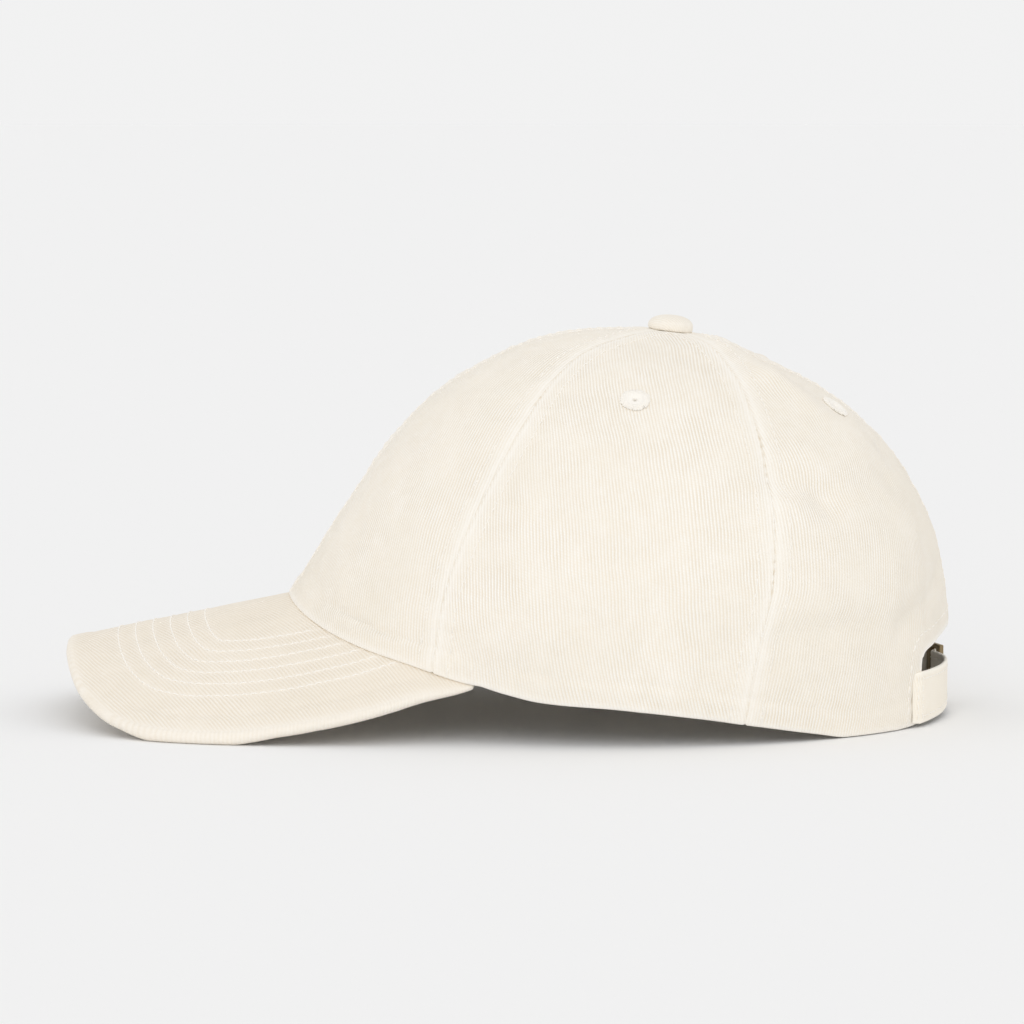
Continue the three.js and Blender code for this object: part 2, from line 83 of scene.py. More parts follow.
# Folds and dents of one half: from and to (angle in degrees, height share), width, height.
FOLDS = [
    (139, 0.85, 134, 0.73, 7, 1.6),
    (134, 0.73, 140, 0.635, 6.5, 1.8),
    (142, 0.8, 140, 0.75, 2.2, 0.2),
    (140, 0.75, 149, 0.635, 2.2, 0.45),
    (158, 0.81, 154, 0.7, 8, -1.8),
    (117, 0.48, 128, 0.435, 6, -2.1),
    (128, 0.435, 150, 0.46, 7, -1.9),
    (145, 0.175, 166, 0.25, 5, -1.9),
    (118, 0.16, 134, 0.18, 6, -1.2),
    (60, 0.045, 68, 0.02, 5, -0.8),
]
EYELETS = {"side": (81, 0.623), "back": (152, 0.634)}

BRIM_EDGE = [
    (0, -137.5), (22.2, -135.8), (44.7, -129.8), (61, -120), (70.8, -107), (76.7, -92), (79.9, -75),
    (80.9, -58), (80.2, -42), (77, -24), (75.2, -11.5),
]
BRIM_THICK = 3.3
BRIM_TUCK = 3.5
BRIM_ROWS = [15.9 + 5.4 * k for k in range(6)]    # stitch rows, from the brim's edge

OPENING_HALF = 38.5
OPENING_ARCH = [
    (0, 28.5), (12, 27.8), (23, 26), (29, 24.7), (33, 23.7), (36, 22.9), (37.8, 22.0), (38.5, 20.8),
]

STRAP_THICK = 1.3
STRAP_TOP = 17.2
STRAP_END = 43
STRAP_LOW = [(-43, 1.0), (-30, 2.4), (-8, 2.4), (0, 2.8), (20, 1.9), (43, 1.0)]
STRAP_ROW = 2.3          # from a strap's edge to its stitches
BUCKLE = {"x": -19, "length": 19, "height": 18.6, "middle": 9.8, "bar": 3, "rail": 1.6, "thick": 1.6}

# Ribs of the twill from a piece's own length, in degrees, and the studio as the photo shows it.
TWILL_LEAN = {"front": -17, "side": -17, "back": 8, "brim": 62, "strap": -14}
PHOTO = {"width": 1024, "per_mm": 3.2, "distance": 1400, "rise": 5.3, "aim": (0, 1.25, 62.2)}
SUN = {"energy": 0.57, "spread": 50, "way": (-0.9, 0.07, -0.35)}
SKY = 0.885
FLOOR_REACH = 30000


def unit(v):
    return v / np.maximum(np.linalg.norm(v, axis=-1, keepdims=True), 1e-12)


def smooth_step(x, low, high):
    f = np.clip((x - low) / (high - low), 0, 1)
    return f * f * (3 - 2 * f)


def hump(x, centre, width):
    return np.exp(-(((x - centre) / width) ** 2))


def pucker(along, pitch, phase=0):
    """Cloth between stitches: 1 at the middle of each stitch, 0 between two of them."""
    return 0.5 + 0.5 * np.cos(2 * math.pi * along / pitch + phase)


def boundary(low, high, before):
    """Where a test that holds at low stops holding on the way to high, by halving."""
    for _ in range(40):
        mid = (low + high) / 2
        held = before(mid)
        low, high = np.where(held, mid, low), np.where(held, high, mid)
    return low


def smooth_value(rows, x):
    """Smooth value of a two-column table between its rows."""
    keys, values = np.array(rows, float).T
    last = len(keys) - 1
    here = np.arange(last + 1)
    before, after = np.maximum(here - 1, 0), np.minimum(here + 1, last)
    slopes = (values[after] - values[before]) / (keys[after] - keys[before])
    k = np.clip(np.searchsorted(keys, x, side="right") - 1, 0, last - 1)
    span = keys[k + 1] - keys[k]
    f = np.clip((x - keys[k]) / span, 0, 1)
    d = values[k + 1] - values[k]
    m0, m1 = slopes[k] * span, slopes[k + 1] * span
    return values[k] + f * (m0 + f * (3 * d - 2 * m0 - m1 + f * (m0 + m1 - 2 * d)))


def section_rows():
    below = 2 * SECTIONS[0] - SECTIONS[1]
    above = SECTIONS[-2].copy()
    above[:4] = above[[2, 3, 0, 1]]
    above[4] = -above[4]
    return np.vstack([below, SECTIONS, above])


SECTION_ROWS = section_rows()


def section(t):
    """The crown's section at a height share t, with the rows running on over the top."""
    place = np.asarray(t, float) * STEPS
    k = np.clip(np.floor(place).astype(int), 0, STEPS - 1)
    f = (place - k)[..., None]
    p, q, r, s = (SECTION_ROWS[k + i] for i in range(4))
    return 0.5 * (2 * q + f * (r - p + f * (2 * p - 5 * q + 4 * r - s + f * (3 * q - p - 3 * r + s))))


def crown(a, t):
    """Plain crown surface: angle a from the front in radians, height share t."""
    a, t = np.broadcast_arrays(np.asarray(a, float), np.asarray(t, float))
    front_y, front_z, back_y, back_z, half, mid_y, mid_z, square = np.moveaxis(section(t)[..., :8], -1, 0)
    c = np.cos(a)
    swell = 1 + np.where(c < 0, square, 0) * np.sin(2 * a) ** 2
    p = np.where(c > 0, front_y - mid_y, mid_y - back_y) * c * swell
    top = t > 0.9995
    f = np.where(top, -1, front_y - mid_y)
    b = np.where(top, 1, back_y - mid_y)
    z = (
        front_z * p * (p - b) / (f * (f - b))
        + mid_z * (p - f) * (p - b) / (f * b)
        + back_z * p * (p - f) / (b * (b - f))
    )
    return np.stack([half * np.sin(a) * swell, mid_y + p, np.where(top, front_z, z)], -1)


def brim_top(x, y):
    """Height of the brim's upper face, which falls to both sides and a little more at its corners."""
    power = 1.61 + 0.19 * (y + 68.3) / 70
    drop = 30.2 * (((x / 77) ** 2 + 0.0144) ** (power / 2) - 0.12**power)
    corner = 3.4 * np.exp(-((np.abs(x) - 76) ** 2 + (y - BRIM_CORNER) ** 2) / 260)
    return 36.8 + 0.2 * (y + 68.3) - drop - corner


def rim_z(x, y):
    """Lower edge of the crown: on the brim in front, along the rim line behind."""
    on_brim = brim_top(x, y) + SEAM_GAP + 0.45 * np.exp(-((y - BRIM_CORNER) ** 2) / 120)
    return np.where(y < BRIM_CORNER, on_brim, np.maximum(smooth_value(RIM, y), 0))


def crown_on_rim(a, t):
    """The crown surface with its lowest part let down to the rim."""
    p = crown(a, t)
    near = np.maximum(1 - np.asarray(t) * STEPS, 0) ** 2
    foot = crown(a, np.zeros_like(p[..., 0]))
    p[..., 2] += near * (rim_z(foot[..., 0], foot[..., 1]) - foot[..., 2])
    return p


def normal_at(a, t):
    """Direction out of the plain crown surface."""
    h = 0.004
    t = np.asarray(t, float)
    across = crown(a + h, np.minimum(t, 0.99)) - crown(a - h, np.minimum(t, 0.99))
    up = crown(a, np.minimum(t + h, 0.996)) - crown(a, np.maximum(t - h, 0.001))
    return unit(np.cross(across, up))


def fold_height(p):
    """How far the folds raise the cloth at each point."""
    total = np.zeros(p.shape[:-1])
    for from_a, from_t, to_a, to_t, width, height in FOLDS:
        start = crown(math.radians(from_a), from_t)
        along = crown(math.radians(to_a), to_t) - start
        share = np.clip((p - start) @ along / (along @ along), 0, 1)
        off = p - start - share[..., None] * along
        total += height * np.exp(-(off**2).sum(-1) / width**2)
    return total


EYELET_POINTS = [crown(math.radians(a), t) for a, t in EYELETS.values()]


def away_from_eyelets(p):
    """0 at an eyelet and 1 away from them."""
    squared_reach = 110
    calm = np.ones(p.shape[:-1])
    for e in EYELET_POINTS:
        calm *= 1 - np.exp(-((p - e) ** 2).sum(-1) / squared_reach)
    return calm


def ripples(p, wavelength, seed):
    """Uneven height between about -1 and 1 with humps of one size, the same on every run."""
    waves = 10
    rng = np.random.default_rng(seed)
    total = np.zeros(p.shape[:-1])
    for _ in range(waves):
        way = unit(rng.normal(size=3)) * 2 * math.pi / (wavelength * rng.uniform(0.75, 1.4))
        total += np.sin(p @ way + rng.uniform(0, 2 * math.pi))
    return total / math.sqrt(waves)


def run_of(line):
    """Length along a line up to each of its points."""
    return np.concatenate([[0], np.cumsum(np.linalg.norm(np.diff(line, axis=0), axis=1))])


def respaced(line, step):
    """The same line with its points a step apart, its columns being a point and what goes with it."""
    run = run_of(line[:, :3])
    count = max(int(round(run[-1] / step)), 2)
    at = np.linspace(0, run[-1], count + 1)
    return np.stack([np.interp(at, run, line[:, k]) for k in range(line.shape[1])], -1)


def near_line(points, line):
    """Distance from each point to a line, and how far along the line its nearest place is."""
    line = respaced(line, 0.3)
    run = run_of(line)
    flat = points.reshape(-1, 3)
    gap = np.empty(len(flat))
    along = np.empty(len(flat))
    for start in range(0, len(flat), 3000):
        some = flat[start:start + 3000]
        square = ((some[:, None] - line[None]) ** 2).sum(2)
        best = square.argmin(1)
        gap[start:start + 3000] = np.sqrt(square[np.arange(len(some)), best])
        along[start:start + 3000] = run[best]
    return gap.reshape(points.shape[:-1]), along.reshape(points.shape[:-1])


def linked(name, data):
    """An object for a mesh, a light or a camera, placed in the scene."""
    made = bpy.data.objects.new(name, data)
    bpy.context.scene.collection.objects.link(made)
    return made


def plain_piece(name, source):
    """An object with the mesh that a source object's modifiers make; they and the source are removed."""
    shown = source.evaluated_get(bpy.context.evaluated_depsgraph_get())
    mesh = bpy.data.meshes.new_from_object(shown)
    mesh.name = name
    source.modifiers.clear()
    bpy.data.objects.remove(source)
    return linked(name, mesh)


def mesh_piece(name, points, faces, material, weave=None, wear_and_painted_light=None):
    """A piece with its place in its mesh, from points in millimetres."""
    mesh = bpy.data.meshes.new(name)
    mesh.from_pydata((np.asarray(points) * MM).tolist(), [], [list(map(int, f)) for f in faces])
    mesh.materials.append(material)
    mesh.shade_smooth()
    if weave is not None:
        corner = np.empty(len(mesh.loops), int)
        mesh.loops.foreach_get("vertex_index", corner)
        layer = mesh.uv_layers.new(name="weave")
        layer.data.foreach_set("uv", (np.asarray(weave)[corner] * MM).astype(np.float32).ravel())
    # The attribute holds wear with painted light: paler edges above zero, a painted seam shade below zero.
    if wear_and_painted_light is not None:
        layer = mesh.attributes.new("wear_and_painted_light", "FLOAT", "POINT")
        layer.data.foreach_set("value", np.asarray(wear_and_painted_light, np.float32))
    mesh.validate()
    return linked(name, mesh)


def grid_faces(rows, cols, keep=None):
    i, j = np.meshgrid(np.arange(rows - 1), np.arange(cols - 1), indexing="ij")
    a = i * cols + j
    quads = np.stack([a, a + 1, a + cols + 1, a + cols], -1)
    return quads[keep] if keep is not None else quads.reshape(-1, 4)


def edge_ring(faces):
    """Directed edges that only one face uses, in the order of that face."""
    starts = faces.ravel()
    ends = np.roll(faces, -1, axis=1).ravel()
    pairs = set(zip(starts.tolist(), ends.tolist()))
    return np.array([(a, b) for a, b in zip(starts.tolist(), ends.tolist()) if (b, a) not in pairs])


def rounded_shell(outer, inner, faces, bulge=1.0, rows=3):
    """Closed wall between two skins with the same faces; its edge is rounded out past both.

    bulge is the rounding as a share of half the wall, for all points or for each one.
    Returns the points, the faces and the index of the skin point that each point belongs to."""
    count = len(outer)
    ring = edge_ring(faces)
    border = np.unique(ring)
    a, b = np.searchsorted(border, ring).T
    middle = (outer[border] + inner[border]) / 2
    half = (outer[border] - inner[border]) / 2
    side = unit(np.cross(outer[ring[:, 1]] - outer[ring[:, 0]], half[a]))
    out = np.zeros((len(border), 3))
    np.add.at(out, a, side)
    np.add.at(out, b, side)
    out = unit(out - half * ((out * half).sum(1) / np.maximum((half**2).sum(1), 1e-9))[:, None])
    reach = np.linalg.norm(half, axis=1, keepdims=True) * np.broadcast_to(bulge, count)[border][:, None]
    points = [outer, inner]
    for k in range(rows):
        turn = math.pi * (k + 1) / (rows + 1)
        points.append(middle + half * math.cos(turn) + out * reach * math.sin(turn))
    round_rows = [2 * count + k * len(border) + np.arange(len(border)) for k in range(rows)]
    levels = [border, *round_rows, border + count]
    walls = [np.stack([near[b], near[a], far[a], far[b]], -1) for near, far in zip(levels, levels[1:])]
    source = np.concatenate([np.arange(count), np.arange(count), *[border] * rows])
    return np.vstack(points), np.vstack([faces, faces[:, ::-1] + count, *walls]), source


def mirrored(points, faces):
    return points * [-1, 1, 1], [tuple(f)[::-1] for f in faces]


def turned(profile, segments, centre, normal):
    """A closed body turned round its axis from a closed profile of (radius, height)."""
    turn = np.linspace(0, 2 * math.pi, segments, endpoint=False)
    points, rings = [], []
    for r, h in profile:
        if r < 1e-6:
            rings.append([len(points)] * segments)
            points.append((0, 0, h))
        else:
            rings.append(list(range(len(points), len(points) + segments)))
            points += [(r * math.cos(q), r * math.sin(q), h) for q in turn]
    faces = []
    for near, far in zip(rings, rings[1:] + rings[:1]):
        for k in range(segments):
            n = (k + 1) % segments
            face = list(dict.fromkeys([near[k], near[n], far[n], far[k]]))
            if len(face) > 2:
                faces.append(face)
    return placed(np.array(points, float), centre, normal), faces


def placed(points, centre, normal):
    """Points made round the Z axis, stood on a centre with that axis along a normal."""
    z = unit(np.asarray(normal, float))
    x = unit(np.cross([0, 1, 0], z))
    return points @ np.stack([x, np.cross(z, x), z]) + centre


def leaned(across, along, degrees):
    """A flat place on the weave, turned so that the ribs lean."""
    c, s = math.cos(math.radians(degrees)), math.sin(math.radians(degrees))
    return np.stack([across * c - along * s, across * s + along * c], -1)


def curve_through(points, count):
    """A smooth line through the points, evenly spaced (centripetal spline)."""
    p = np.asarray(points, float)
    p = np.vstack([2 * p[0] - p[1], p, 2 * p[-1] - p[-2]])
    line = []
    for k in range(len(p) - 3):
        q = p[k:k + 4]
        d = np.maximum(np.linalg.norm(np.diff(q, axis=0), axis=1) ** 0.5, 1e-4)
        slope1 = ((q[1] - q[0]) / d[0] - (q[2] - q[0]) / (d[0] + d[1]) + (q[2] - q[1]) / d[1]) * d[1]
        slope2 = ((q[2] - q[1]) / d[1] - (q[3] - q[1]) / (d[1] + d[2]) + (q[3] - q[2]) / d[2]) * d[1]
        f = np.linspace(0, 1, 40, endpoint=k == len(p) - 4)[:, None]
        line.append(
            q[1] + f * (slope1 + f * (-3 * q[1] + 3 * q[2] - 2 * slope1 - slope2
                                      + f * (2 * q[1] - 2 * q[2] + slope1 + slope2)))
        )
    line = np.vstack(line)
    run = run_of(line)
    at = np.linspace(0, run[-1], count)
    return np.stack([np.interp(at, run, line[:, c]) for c in range(p.shape[1])], -1)


class Signal:
    """One output socket, with which sums and products can be written."""

    def __init__(self, sheet, socket):
        self.sheet = sheet
        self.socket = socket

    def other(self, name):
        return Signal(self.sheet, self.socket.node.outputs[name])

    def maths(self, operation, *values):
        return self.sheet.node("ShaderNodeMath", {"operation": operation}, values)

    def __add__(self, value):
        return self.maths("ADD", self, value)

    __radd__ = __add__

    def __sub__(self, value):
        return self.maths("SUBTRACT", self, value)

    def __rsub__(self, value):
        return self.maths("SUBTRACT", value, self)

    def __mul__(self, value):
        return self.maths("MULTIPLY", self, value)

    __rmul__ = __mul__

    def __truediv__(self, value):
        return self.maths("DIVIDE", self, value)

    def __pow__(self, value):
        return self.maths("POWER", self, value)

    def cosine(self):
        return self.maths("COSINE", self)

    def clamped(self):
        return self.maths("MINIMUM", self.maths("MAXIMUM", self, 0.0), 1.0)


class Sheet:
    """A node tree, to which a node is added by its type, its settings and its sockets' values."""

    def __init__(self, tree):
        self.tree = tree

    def chance(self, low, high, seed):
        """An uneven value for each point."""
        sockets = {2: low, 3: high, "Seed": seed}
        return self.node("FunctionNodeRandomValue", {"data_type": "FLOAT"}, sockets, output=1)

    def vector(self, x=0.0, y=0.0, z=0.0):
        return self.node("ShaderNodeCombineXYZ", values=(x, y, z))

    def node(self, kind, settings=None, values=(), output=0):
        made = self.tree.nodes.new(kind)
        for name, value in (settings or {}).items():
            setattr(made, name, value)
        for key, value in values.items() if isinstance(values, dict) else enumerate(values):
            if isinstance(value, Signal):
                self.tree.links.new(value.socket, made.inputs[key])
            else:
                made.inputs[key].default_value = value
        return Signal(self, made.outputs[output]) if made.outputs else made


class Finish(Sheet):
    """A material of one Principled surface."""

    def __init__(self, name):
        self.material = bpy.data.materials.new(name)
        self.material.use_nodes = True
        super().__init__(self.material.node_tree)
        self.tree.nodes.clear()

    def place(self):
        return self.node("ShaderNodeTexCoord", output="Object")

    def cloth_uv(self):
        weave = self.node("ShaderNodeUVMap", {"uv_map": "weave"})
        parts = self.node("ShaderNodeSeparateXYZ", values=(weave,))
        return parts, parts.other("Y")

    def noise(self, place, scale, detail=2.0, roughness=0.5):
        sockets = {"Vector": place, "Scale": scale, "Detail": detail, "Roughness": roughness}
        return self.node("ShaderNodeTexNoise", values=sockets)

    def blend(self, share, low, high):
        settings = {"data_type": "RGBA", "clamp_factor": True}
        return self.node("ShaderNodeMix", settings, {0: share, 6: low, 7: high}, output=2)

    def bump(self, height, distance, strength):
        sockets = {"Height": height, "Distance": distance, "Strength": strength}
        return self.node("ShaderNodeBump", values=sockets)

    def surface(self, sockets):
        shader = self.node("ShaderNodeBsdfPrincipled", values=sockets)
        self.node("ShaderNodeOutputMaterial", values={"Surface": shader})
        return self.material


def colour(red, green, blue):
    """Linear colour from screen values between 0 and 255."""
    parts = [c / 255 for c in (red, green, blue)]
    return (*[c / 12.92 if c <= 0.04045 else ((c + 0.055) / 1.055) ** 2.4 for c in parts], 1.0)


def twill(name, ridge, gap, shade, pitch, depth):
    """Cotton twill: ribs of yarn floats along the weave's V, uneven and fading in patches.

    The screen colours are the ribs', the gaps' and the blotches'; pitch and depth are in mm. Where the
    attribute for wear and painted light is above zero the cloth is paler, rubbed wear with a painted
    highlight on rolled edges;
    below zero it takes a painted shade, the shadow in a seam's pucker."""
    finish = Finish(name)
    place = finish.place()
    # The fourth colour is a painted shade: the shadow in a seam's pucker.
    ridge, gap, shade, painted_shade = (colour(*screen) for screen in (ridge, gap, shade, (205, 183, 148)))
    across, along = finish.cloth_uv()
    slub = finish.noise(place, 260)
    drift = finish.noise(place, 60, 1.0)
    across = across + (slub - 0.5) * (0.28 * pitch * MM) + (drift - 0.5) * (1.3 * pitch * MM)
    turns = across * (2 * math.pi / (pitch * MM))
    faded = (finish.noise(place, 75, 3.0, 0.6) * 2.4 - 0.7).clamped()
    rib = ((turns.cosine() * 0.5 + 0.5) ** 0.8 - 0.56) * (0.5 + 0.95 * faded) + 0.56
    floats = (along * (2 * math.pi / (0.85 * MM)) + turns * 0.5).cosine() * 0.5 + 0.5
    fuzz = finish.noise(place, 2600, 2.0, 0.6)
    lint = finish.noise(place, 900, 3.0, 0.6)
    wear_and_painted_light = finish.node("ShaderNodeAttribute", {"attribute_name": "wear_and_painted_light"}, output="Fac")
    # Above zero the attribute makes the cloth paler: rubbed wear and a painted highlight on rolled edges.
    rubbed_and_painted_highlight = wear_and_painted_light.clamped()
    weave = rib * (0.72 + 0.28 * floats) * (1 - 0.7 * rubbed_and_painted_highlight)
    height = weave + fuzz * 0.28 + lint * 0.22
    blotch = finish.noise(place, 34, 3.0, 0.55)
    cloud = finish.noise(place, 11)
    yarn = finish.blend((weave * 0.75 + fuzz * 0.5 + slub * 0.3 - 0.22).clamped(), gap, ridge)
    tone = ((blotch - 0.5) * 1.5 + (cloud - 0.5) * 1.3 + 0.42).clamped()
    washed = finish.blend(tone * 0.6, yarn, shade)
    pale = finish.blend((rubbed_and_painted_highlight * (0.5 + 0.6 * lint)).clamped(), washed, ridge)
    # Below zero it darkens the cloth to a painted shade where a seam's pucker lies in shadow.
    worn_and_painted_light = finish.blend((wear_and_painted_light * -0.8).clamped(), pale, painted_shade)
    return finish.surface({
        "Base Color": worn_and_painted_light,
        "Roughness": 0.9 + 0.08 * fuzz,
        "Specular IOR Level": 0.18,
        "Sheen Weight": 0.12,
        "Sheen Roughness": 0.45,
        "Normal": finish.bump(height, depth * MM, 0.55),
    })


def thread_finish(name, light, dark):
    """Spun cotton thread: fine twist and lint."""
    finish = Finish(name)
    place = finish.place()
    twist = finish.node(
        "ShaderNodeTexWave",
        {"wave_type": "BANDS", "bands_direction": "DIAGONAL"},
        {"Vector": place, "Scale": 1500, "Distortion": 3.0, "Detail": 1.0},
        output="Fac",
    )
    lint = finish.noise(place, 1800)
    tone = finish.blend((twist * 0.6 + lint * 0.5 - 0.05).clamped(), dark, light)
    return finish.surface({
        "Base Color": tone,
        "Roughness": 0.72 + 0.15 * lint,
        "Specular IOR Level": 0.3,
        "Sheen Weight": 0.15,
        "Normal": finish.bump(twist * 0.6 + lint * 0.4, 0.06 * MM, 0.6),
    })


def brass_finish(name):
    """Plain aged brass: brushed, darker in patches, rubbed bright here and there."""
    finish = Finish(name)
    place = finish.place()
    stretched = finish.node("ShaderNodeMapping", values={"Vector": place, "Scale": (1.0, 1.0, 14.0)})
    brushed = finish.noise(stretched, 700, 3.0)
    patches = finish.noise(place, 120, 4.0, 0.6)
    pits = finish.noise(place, 2200)
    tone = finish.blend((patches * 1.6 - 0.35).clamped(), (0.16, 0.115, 0.06, 1), (0.34, 0.26, 0.15, 1))
    return finish.surface({
        "Base Color": finish.blend(brushed * 0.3, tone, (0.46, 0.37, 0.23, 1)),
        "Metallic": 1.0,
        "Roughness": 0.26 + 0.28 * patches + 0.1 * brushed,
        "Normal": finish.bump(brushed * 0.6 + pits * 0.4, 0.03 * MM, 0.4),
    })


def floor_finish(name):
    finish = Finish(name)
    speck = finish.noise(finish.place(), 3.0)
    return finish.surface({
        "Base Color": finish.blend(speck * 0.3, (0.928, 0.928, 0.928, 1), (0.923, 0.923, 0.923, 1)),
        "Roughness": 0.9,
        "Specular IOR Level": 0.1,
    })


crown_twill = twill("cream_twill", (255, 253, 249), (236, 223, 201), (238, 230, 215), 1.0, 0.22)
brim_twill = twill("brim_twill", (252, 247, 239), (234, 221, 200), (234, 224, 207), 1.0, 0.2)
button_twill = twill("button_twill", (251, 247, 240), (234, 224, 206), (236, 228, 213), 0.85, 0.16)
strap_twill = twill("strap_twill", (255, 250, 240), (246, 237, 221), (246, 237, 221), 0.95, 0.1)
cream_thread = thread_finish("cream_thread", colour(254, 251, 246), colour(246, 240, 229))
aged_brass = brass_finish("aged_brass")


def group_tree(name, inputs):
    """A geometry tree with named inputs; returns the sheet, the input signals and their identifiers."""
    tree = bpy.data.node_groups.new(name, "GeometryNodeTree")
    kinds = {"Geometry": "NodeSocketGeometry", "Finish": "NodeSocketMaterial", "Seed": "NodeSocketInt",
             "Count": "NodeSocketInt"}
    names = {}
    for key in inputs:
        kind = kinds.get(key, "NodeSocketFloat")
        names[key] = tree.interface.new_socket(key, in_out="INPUT", socket_type=kind).identifier
    tree.interface.new_socket("Geometry", in_out="OUTPUT", socket_type="NodeSocketGeometry")
    sheet = Sheet(tree)
    first = sheet.node("NodeGroupInput")
    return sheet, {key: first.other(key) for key in inputs}, names


def close_tree(sheet, points, shape, turn, size, finish):
    """The shape on every point, made real, smooth and painted."""
    sockets = {"Points": points, "Instance": shape, "Rotation": turn, "Scale": size}
    instances = sheet.node("GeometryNodeInstanceOnPoints", values=sockets)
    whole = sheet.node("GeometryNodeRealizeInstances", values=(instances,))
    smooth = sheet.node("GeometryNodeSetShadeSmooth", values={"Geometry": whole})
    painted = sheet.node("GeometryNodeSetMaterial", values={"Geometry": smooth, "Material": finish})
    sheet.node("NodeGroupOutput", values={"Geometry": painted})


def thread_arc(sheet, start, middle, end, thickness, steps):
    """A bent length of six-sided thread with closed ends, from places of (along, height)."""
    ends = [sheet.vector(along, 0.0, height) for along, height in (start, middle, end)]
    sockets = {"Resolution": steps, **dict(zip(("Start", "Middle", "End"), ends))}
    line = sheet.node("GeometryNodeCurveQuadraticBezier", values=sockets)
    sockets = {"Resolution": 6, "Radius": thickness * 0.5}
    circle = sheet.node("GeometryNodeCurvePrimitiveCircle", values=sockets)
    sockets = {"Curve": line, "Profile Curve": circle, "Fill Caps": True}
    return sheet.node("GeometryNodeCurveToMesh", values=sockets)


def stitch_tree():
    """Stitches along lines whose points carry the direction that faces out of the cloth."""
    sheet, given, names = group_tree(
        "stitch_row", ["Geometry", "Pitch", "Length", "Thickness", "Unevenness", "Seed", "Finish"]
    )
    thick, uneven, seed = given["Thickness"], given["Unevenness"], given["Seed"]
    line = sheet.node("GeometryNodeMeshToCurve", values=(given["Geometry"],))
    sockets = {"Curve": line, "Length": given["Pitch"]}
    points = sheet.node("GeometryNodeResampleCurve", {"mode": "LENGTH"}, sockets)
    half = given["Length"] * 0.5
    sunk = thick * -0.75
    stitch = thread_arc(sheet, (half * -1.0, sunk), (0.0, thick * 1.15), (half, sunk), thick, 5)
    out = sheet.node("GeometryNodeInputNamedAttribute", {"data_type": "FLOAT_VECTOR"}, {"Name": "out"})
    turn = sheet.node(
        "FunctionNodeAxesToRotation",
        {"primary_axis": "X", "secondary_axis": "Z"},
        {"Primary Axis": sheet.node("GeometryNodeInputTangent"), "Secondary Axis": out},
    )
    lean = sheet.vector(z=sheet.chance(uneven * -1.0, uneven, seed))
    sockets = {"Rotation": turn, "Rotate By": sheet.node("FunctionNodeEulerToRotation", values=(lean,))}
    turn = sheet.node("FunctionNodeRotateRotation", {"rotation_space": "LOCAL"}, sockets)
    close_tree(sheet, points, stitch, turn, sheet.chance(0.9, 1.08, seed), given["Finish"])
    return sheet.tree, names


def grown(name, mesh, tree, names, values):
    """The plain piece that a geometry tree makes from a mesh."""
    carrier = linked(name + "_carrier", mesh)
    modifier = carrier.modifiers.new("grow", "NODES")
    modifier.node_group = tree
    for key, value in values.items():
        modifier[names[key]] = value
    return plain_piece(name, carrier)


STITCH_TREE, STITCH_NAMES = stitch_tree()


def stitched(name, lines, stitch, seed):
    """Thread stitches along lines of (point, outward direction), lying on the cloth."""
    pitch, length, thickness = stitch
    points, outs, edges = [], [], []
    for line in lines:
        first = len(points)
        points += (line[:, :3] * MM).tolist()
        outs += unit(line[:, 3:6]).tolist()
        edges += [(first + k, first + k + 1) for k in range(len(line) - 1)]
    mesh = bpy.data.meshes.new(name + "_path")
    mesh.from_pydata(points, edges, [])
    layer = mesh.attributes.new("out", "FLOAT_VECTOR", "POINT")
    layer.data.foreach_set("vector", np.array(outs, np.float32).ravel())
    values = {"Pitch": pitch * MM, "Length": length * MM, "Thickness": thickness * MM,
              "Unevenness": 0.07, "Seed": seed, "Finish": cream_thread}
    return grown(name, mesh, STITCH_TREE, STITCH_NAMES, values)


def sided(name, flip):
    return name + ("_right" if flip else "_left")


def wear_piece(piece, slot, *nodes):
    if nodes:
        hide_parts(*nodes)
    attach(piece, "root")


PANELS = {"front": (None, SEAM_A), "side": (SEAM_A, SEAM_B), "back": (SEAM_B, None)}

# Seams from the front centre to the back centre: seed, how plain the seam is, and the height shares
# between which it is plainest.
SEAMS = [(3, 0.4, 0.0, 1.0), (18, 0.6, 0.4, 0.95), (38, 0.85, 0.1, 0.6), (58, 0.4, 0.0, 1.0)]
FIRST_SEAM = {"front": 0, "side": 1, "back": 2}
ROLL = 0.45              # how far the cloth is rounded out at the rim and the opening
SEAM_CLEAR = 0.01        # from a panel's edge to the seam it shares


def panel_angles(kind, t):
    rows = section(t)
    first, last = PANELS[kind]
    low = np.zeros(np.shape(t)) if first is None else rows[..., first]
    high = np.full(np.shape(t), 180.0) if last is None else rows[..., last]
    return np.radians(low), np.radians(high)


def panel_place(kind, side, t):
    """Point of a panel at shares of its width and its height, before any relief."""
    low, high = panel_angles(kind, t)
    return crown_on_rim(low + (high - low) * side, t)


def seam_line(kind, end):
    return panel_place(kind, end, np.linspace(0, CROWN_END, 400))


def seam_show(number, t):
    """How plain a seam is at each height share."""
    _, show, low, high = SEAMS[number]
    return show * (0.25 + 0.75 * smooth_step(t, low, low + 0.2) * smooth_step(high + 0.08 - t, 0, 0.1))


def seam_relief(gap, along, seed, show):
    """Beside a seam: raised over the turned-in edges, drawn down and puckered by the stitches."""
    held = pucker(along, PANEL_STITCH[0])
    drawn = 0.7 + 0.3 * np.sin(along / 6.1 + seed)
    rng = np.random.default_rng(seed)
    gather = 0
    for _ in range(5):
        wave, lean, start = rng.uniform(5, 13), rng.uniform(-0.25, 0.25), rng.uniform(0, 6.3)
        gather = gather + np.sin(2 * math.pi * along / wave + gap * lean + start)
    turned_in = 0.22 * (1 - smooth_step(gap, 3.9, 6.6))
    row = 0.07 * hump(gap, SEAM_ROW, 0.9) * (0.45 + 0.55 * held)
    join = 0.36 * show * drawn * hump(gap, 0, 1.1) * (0.35 + 0.65 * held**2)
    return turned_in - row - join + 0.05 * gather * hump(gap, 3.5, 3.0)


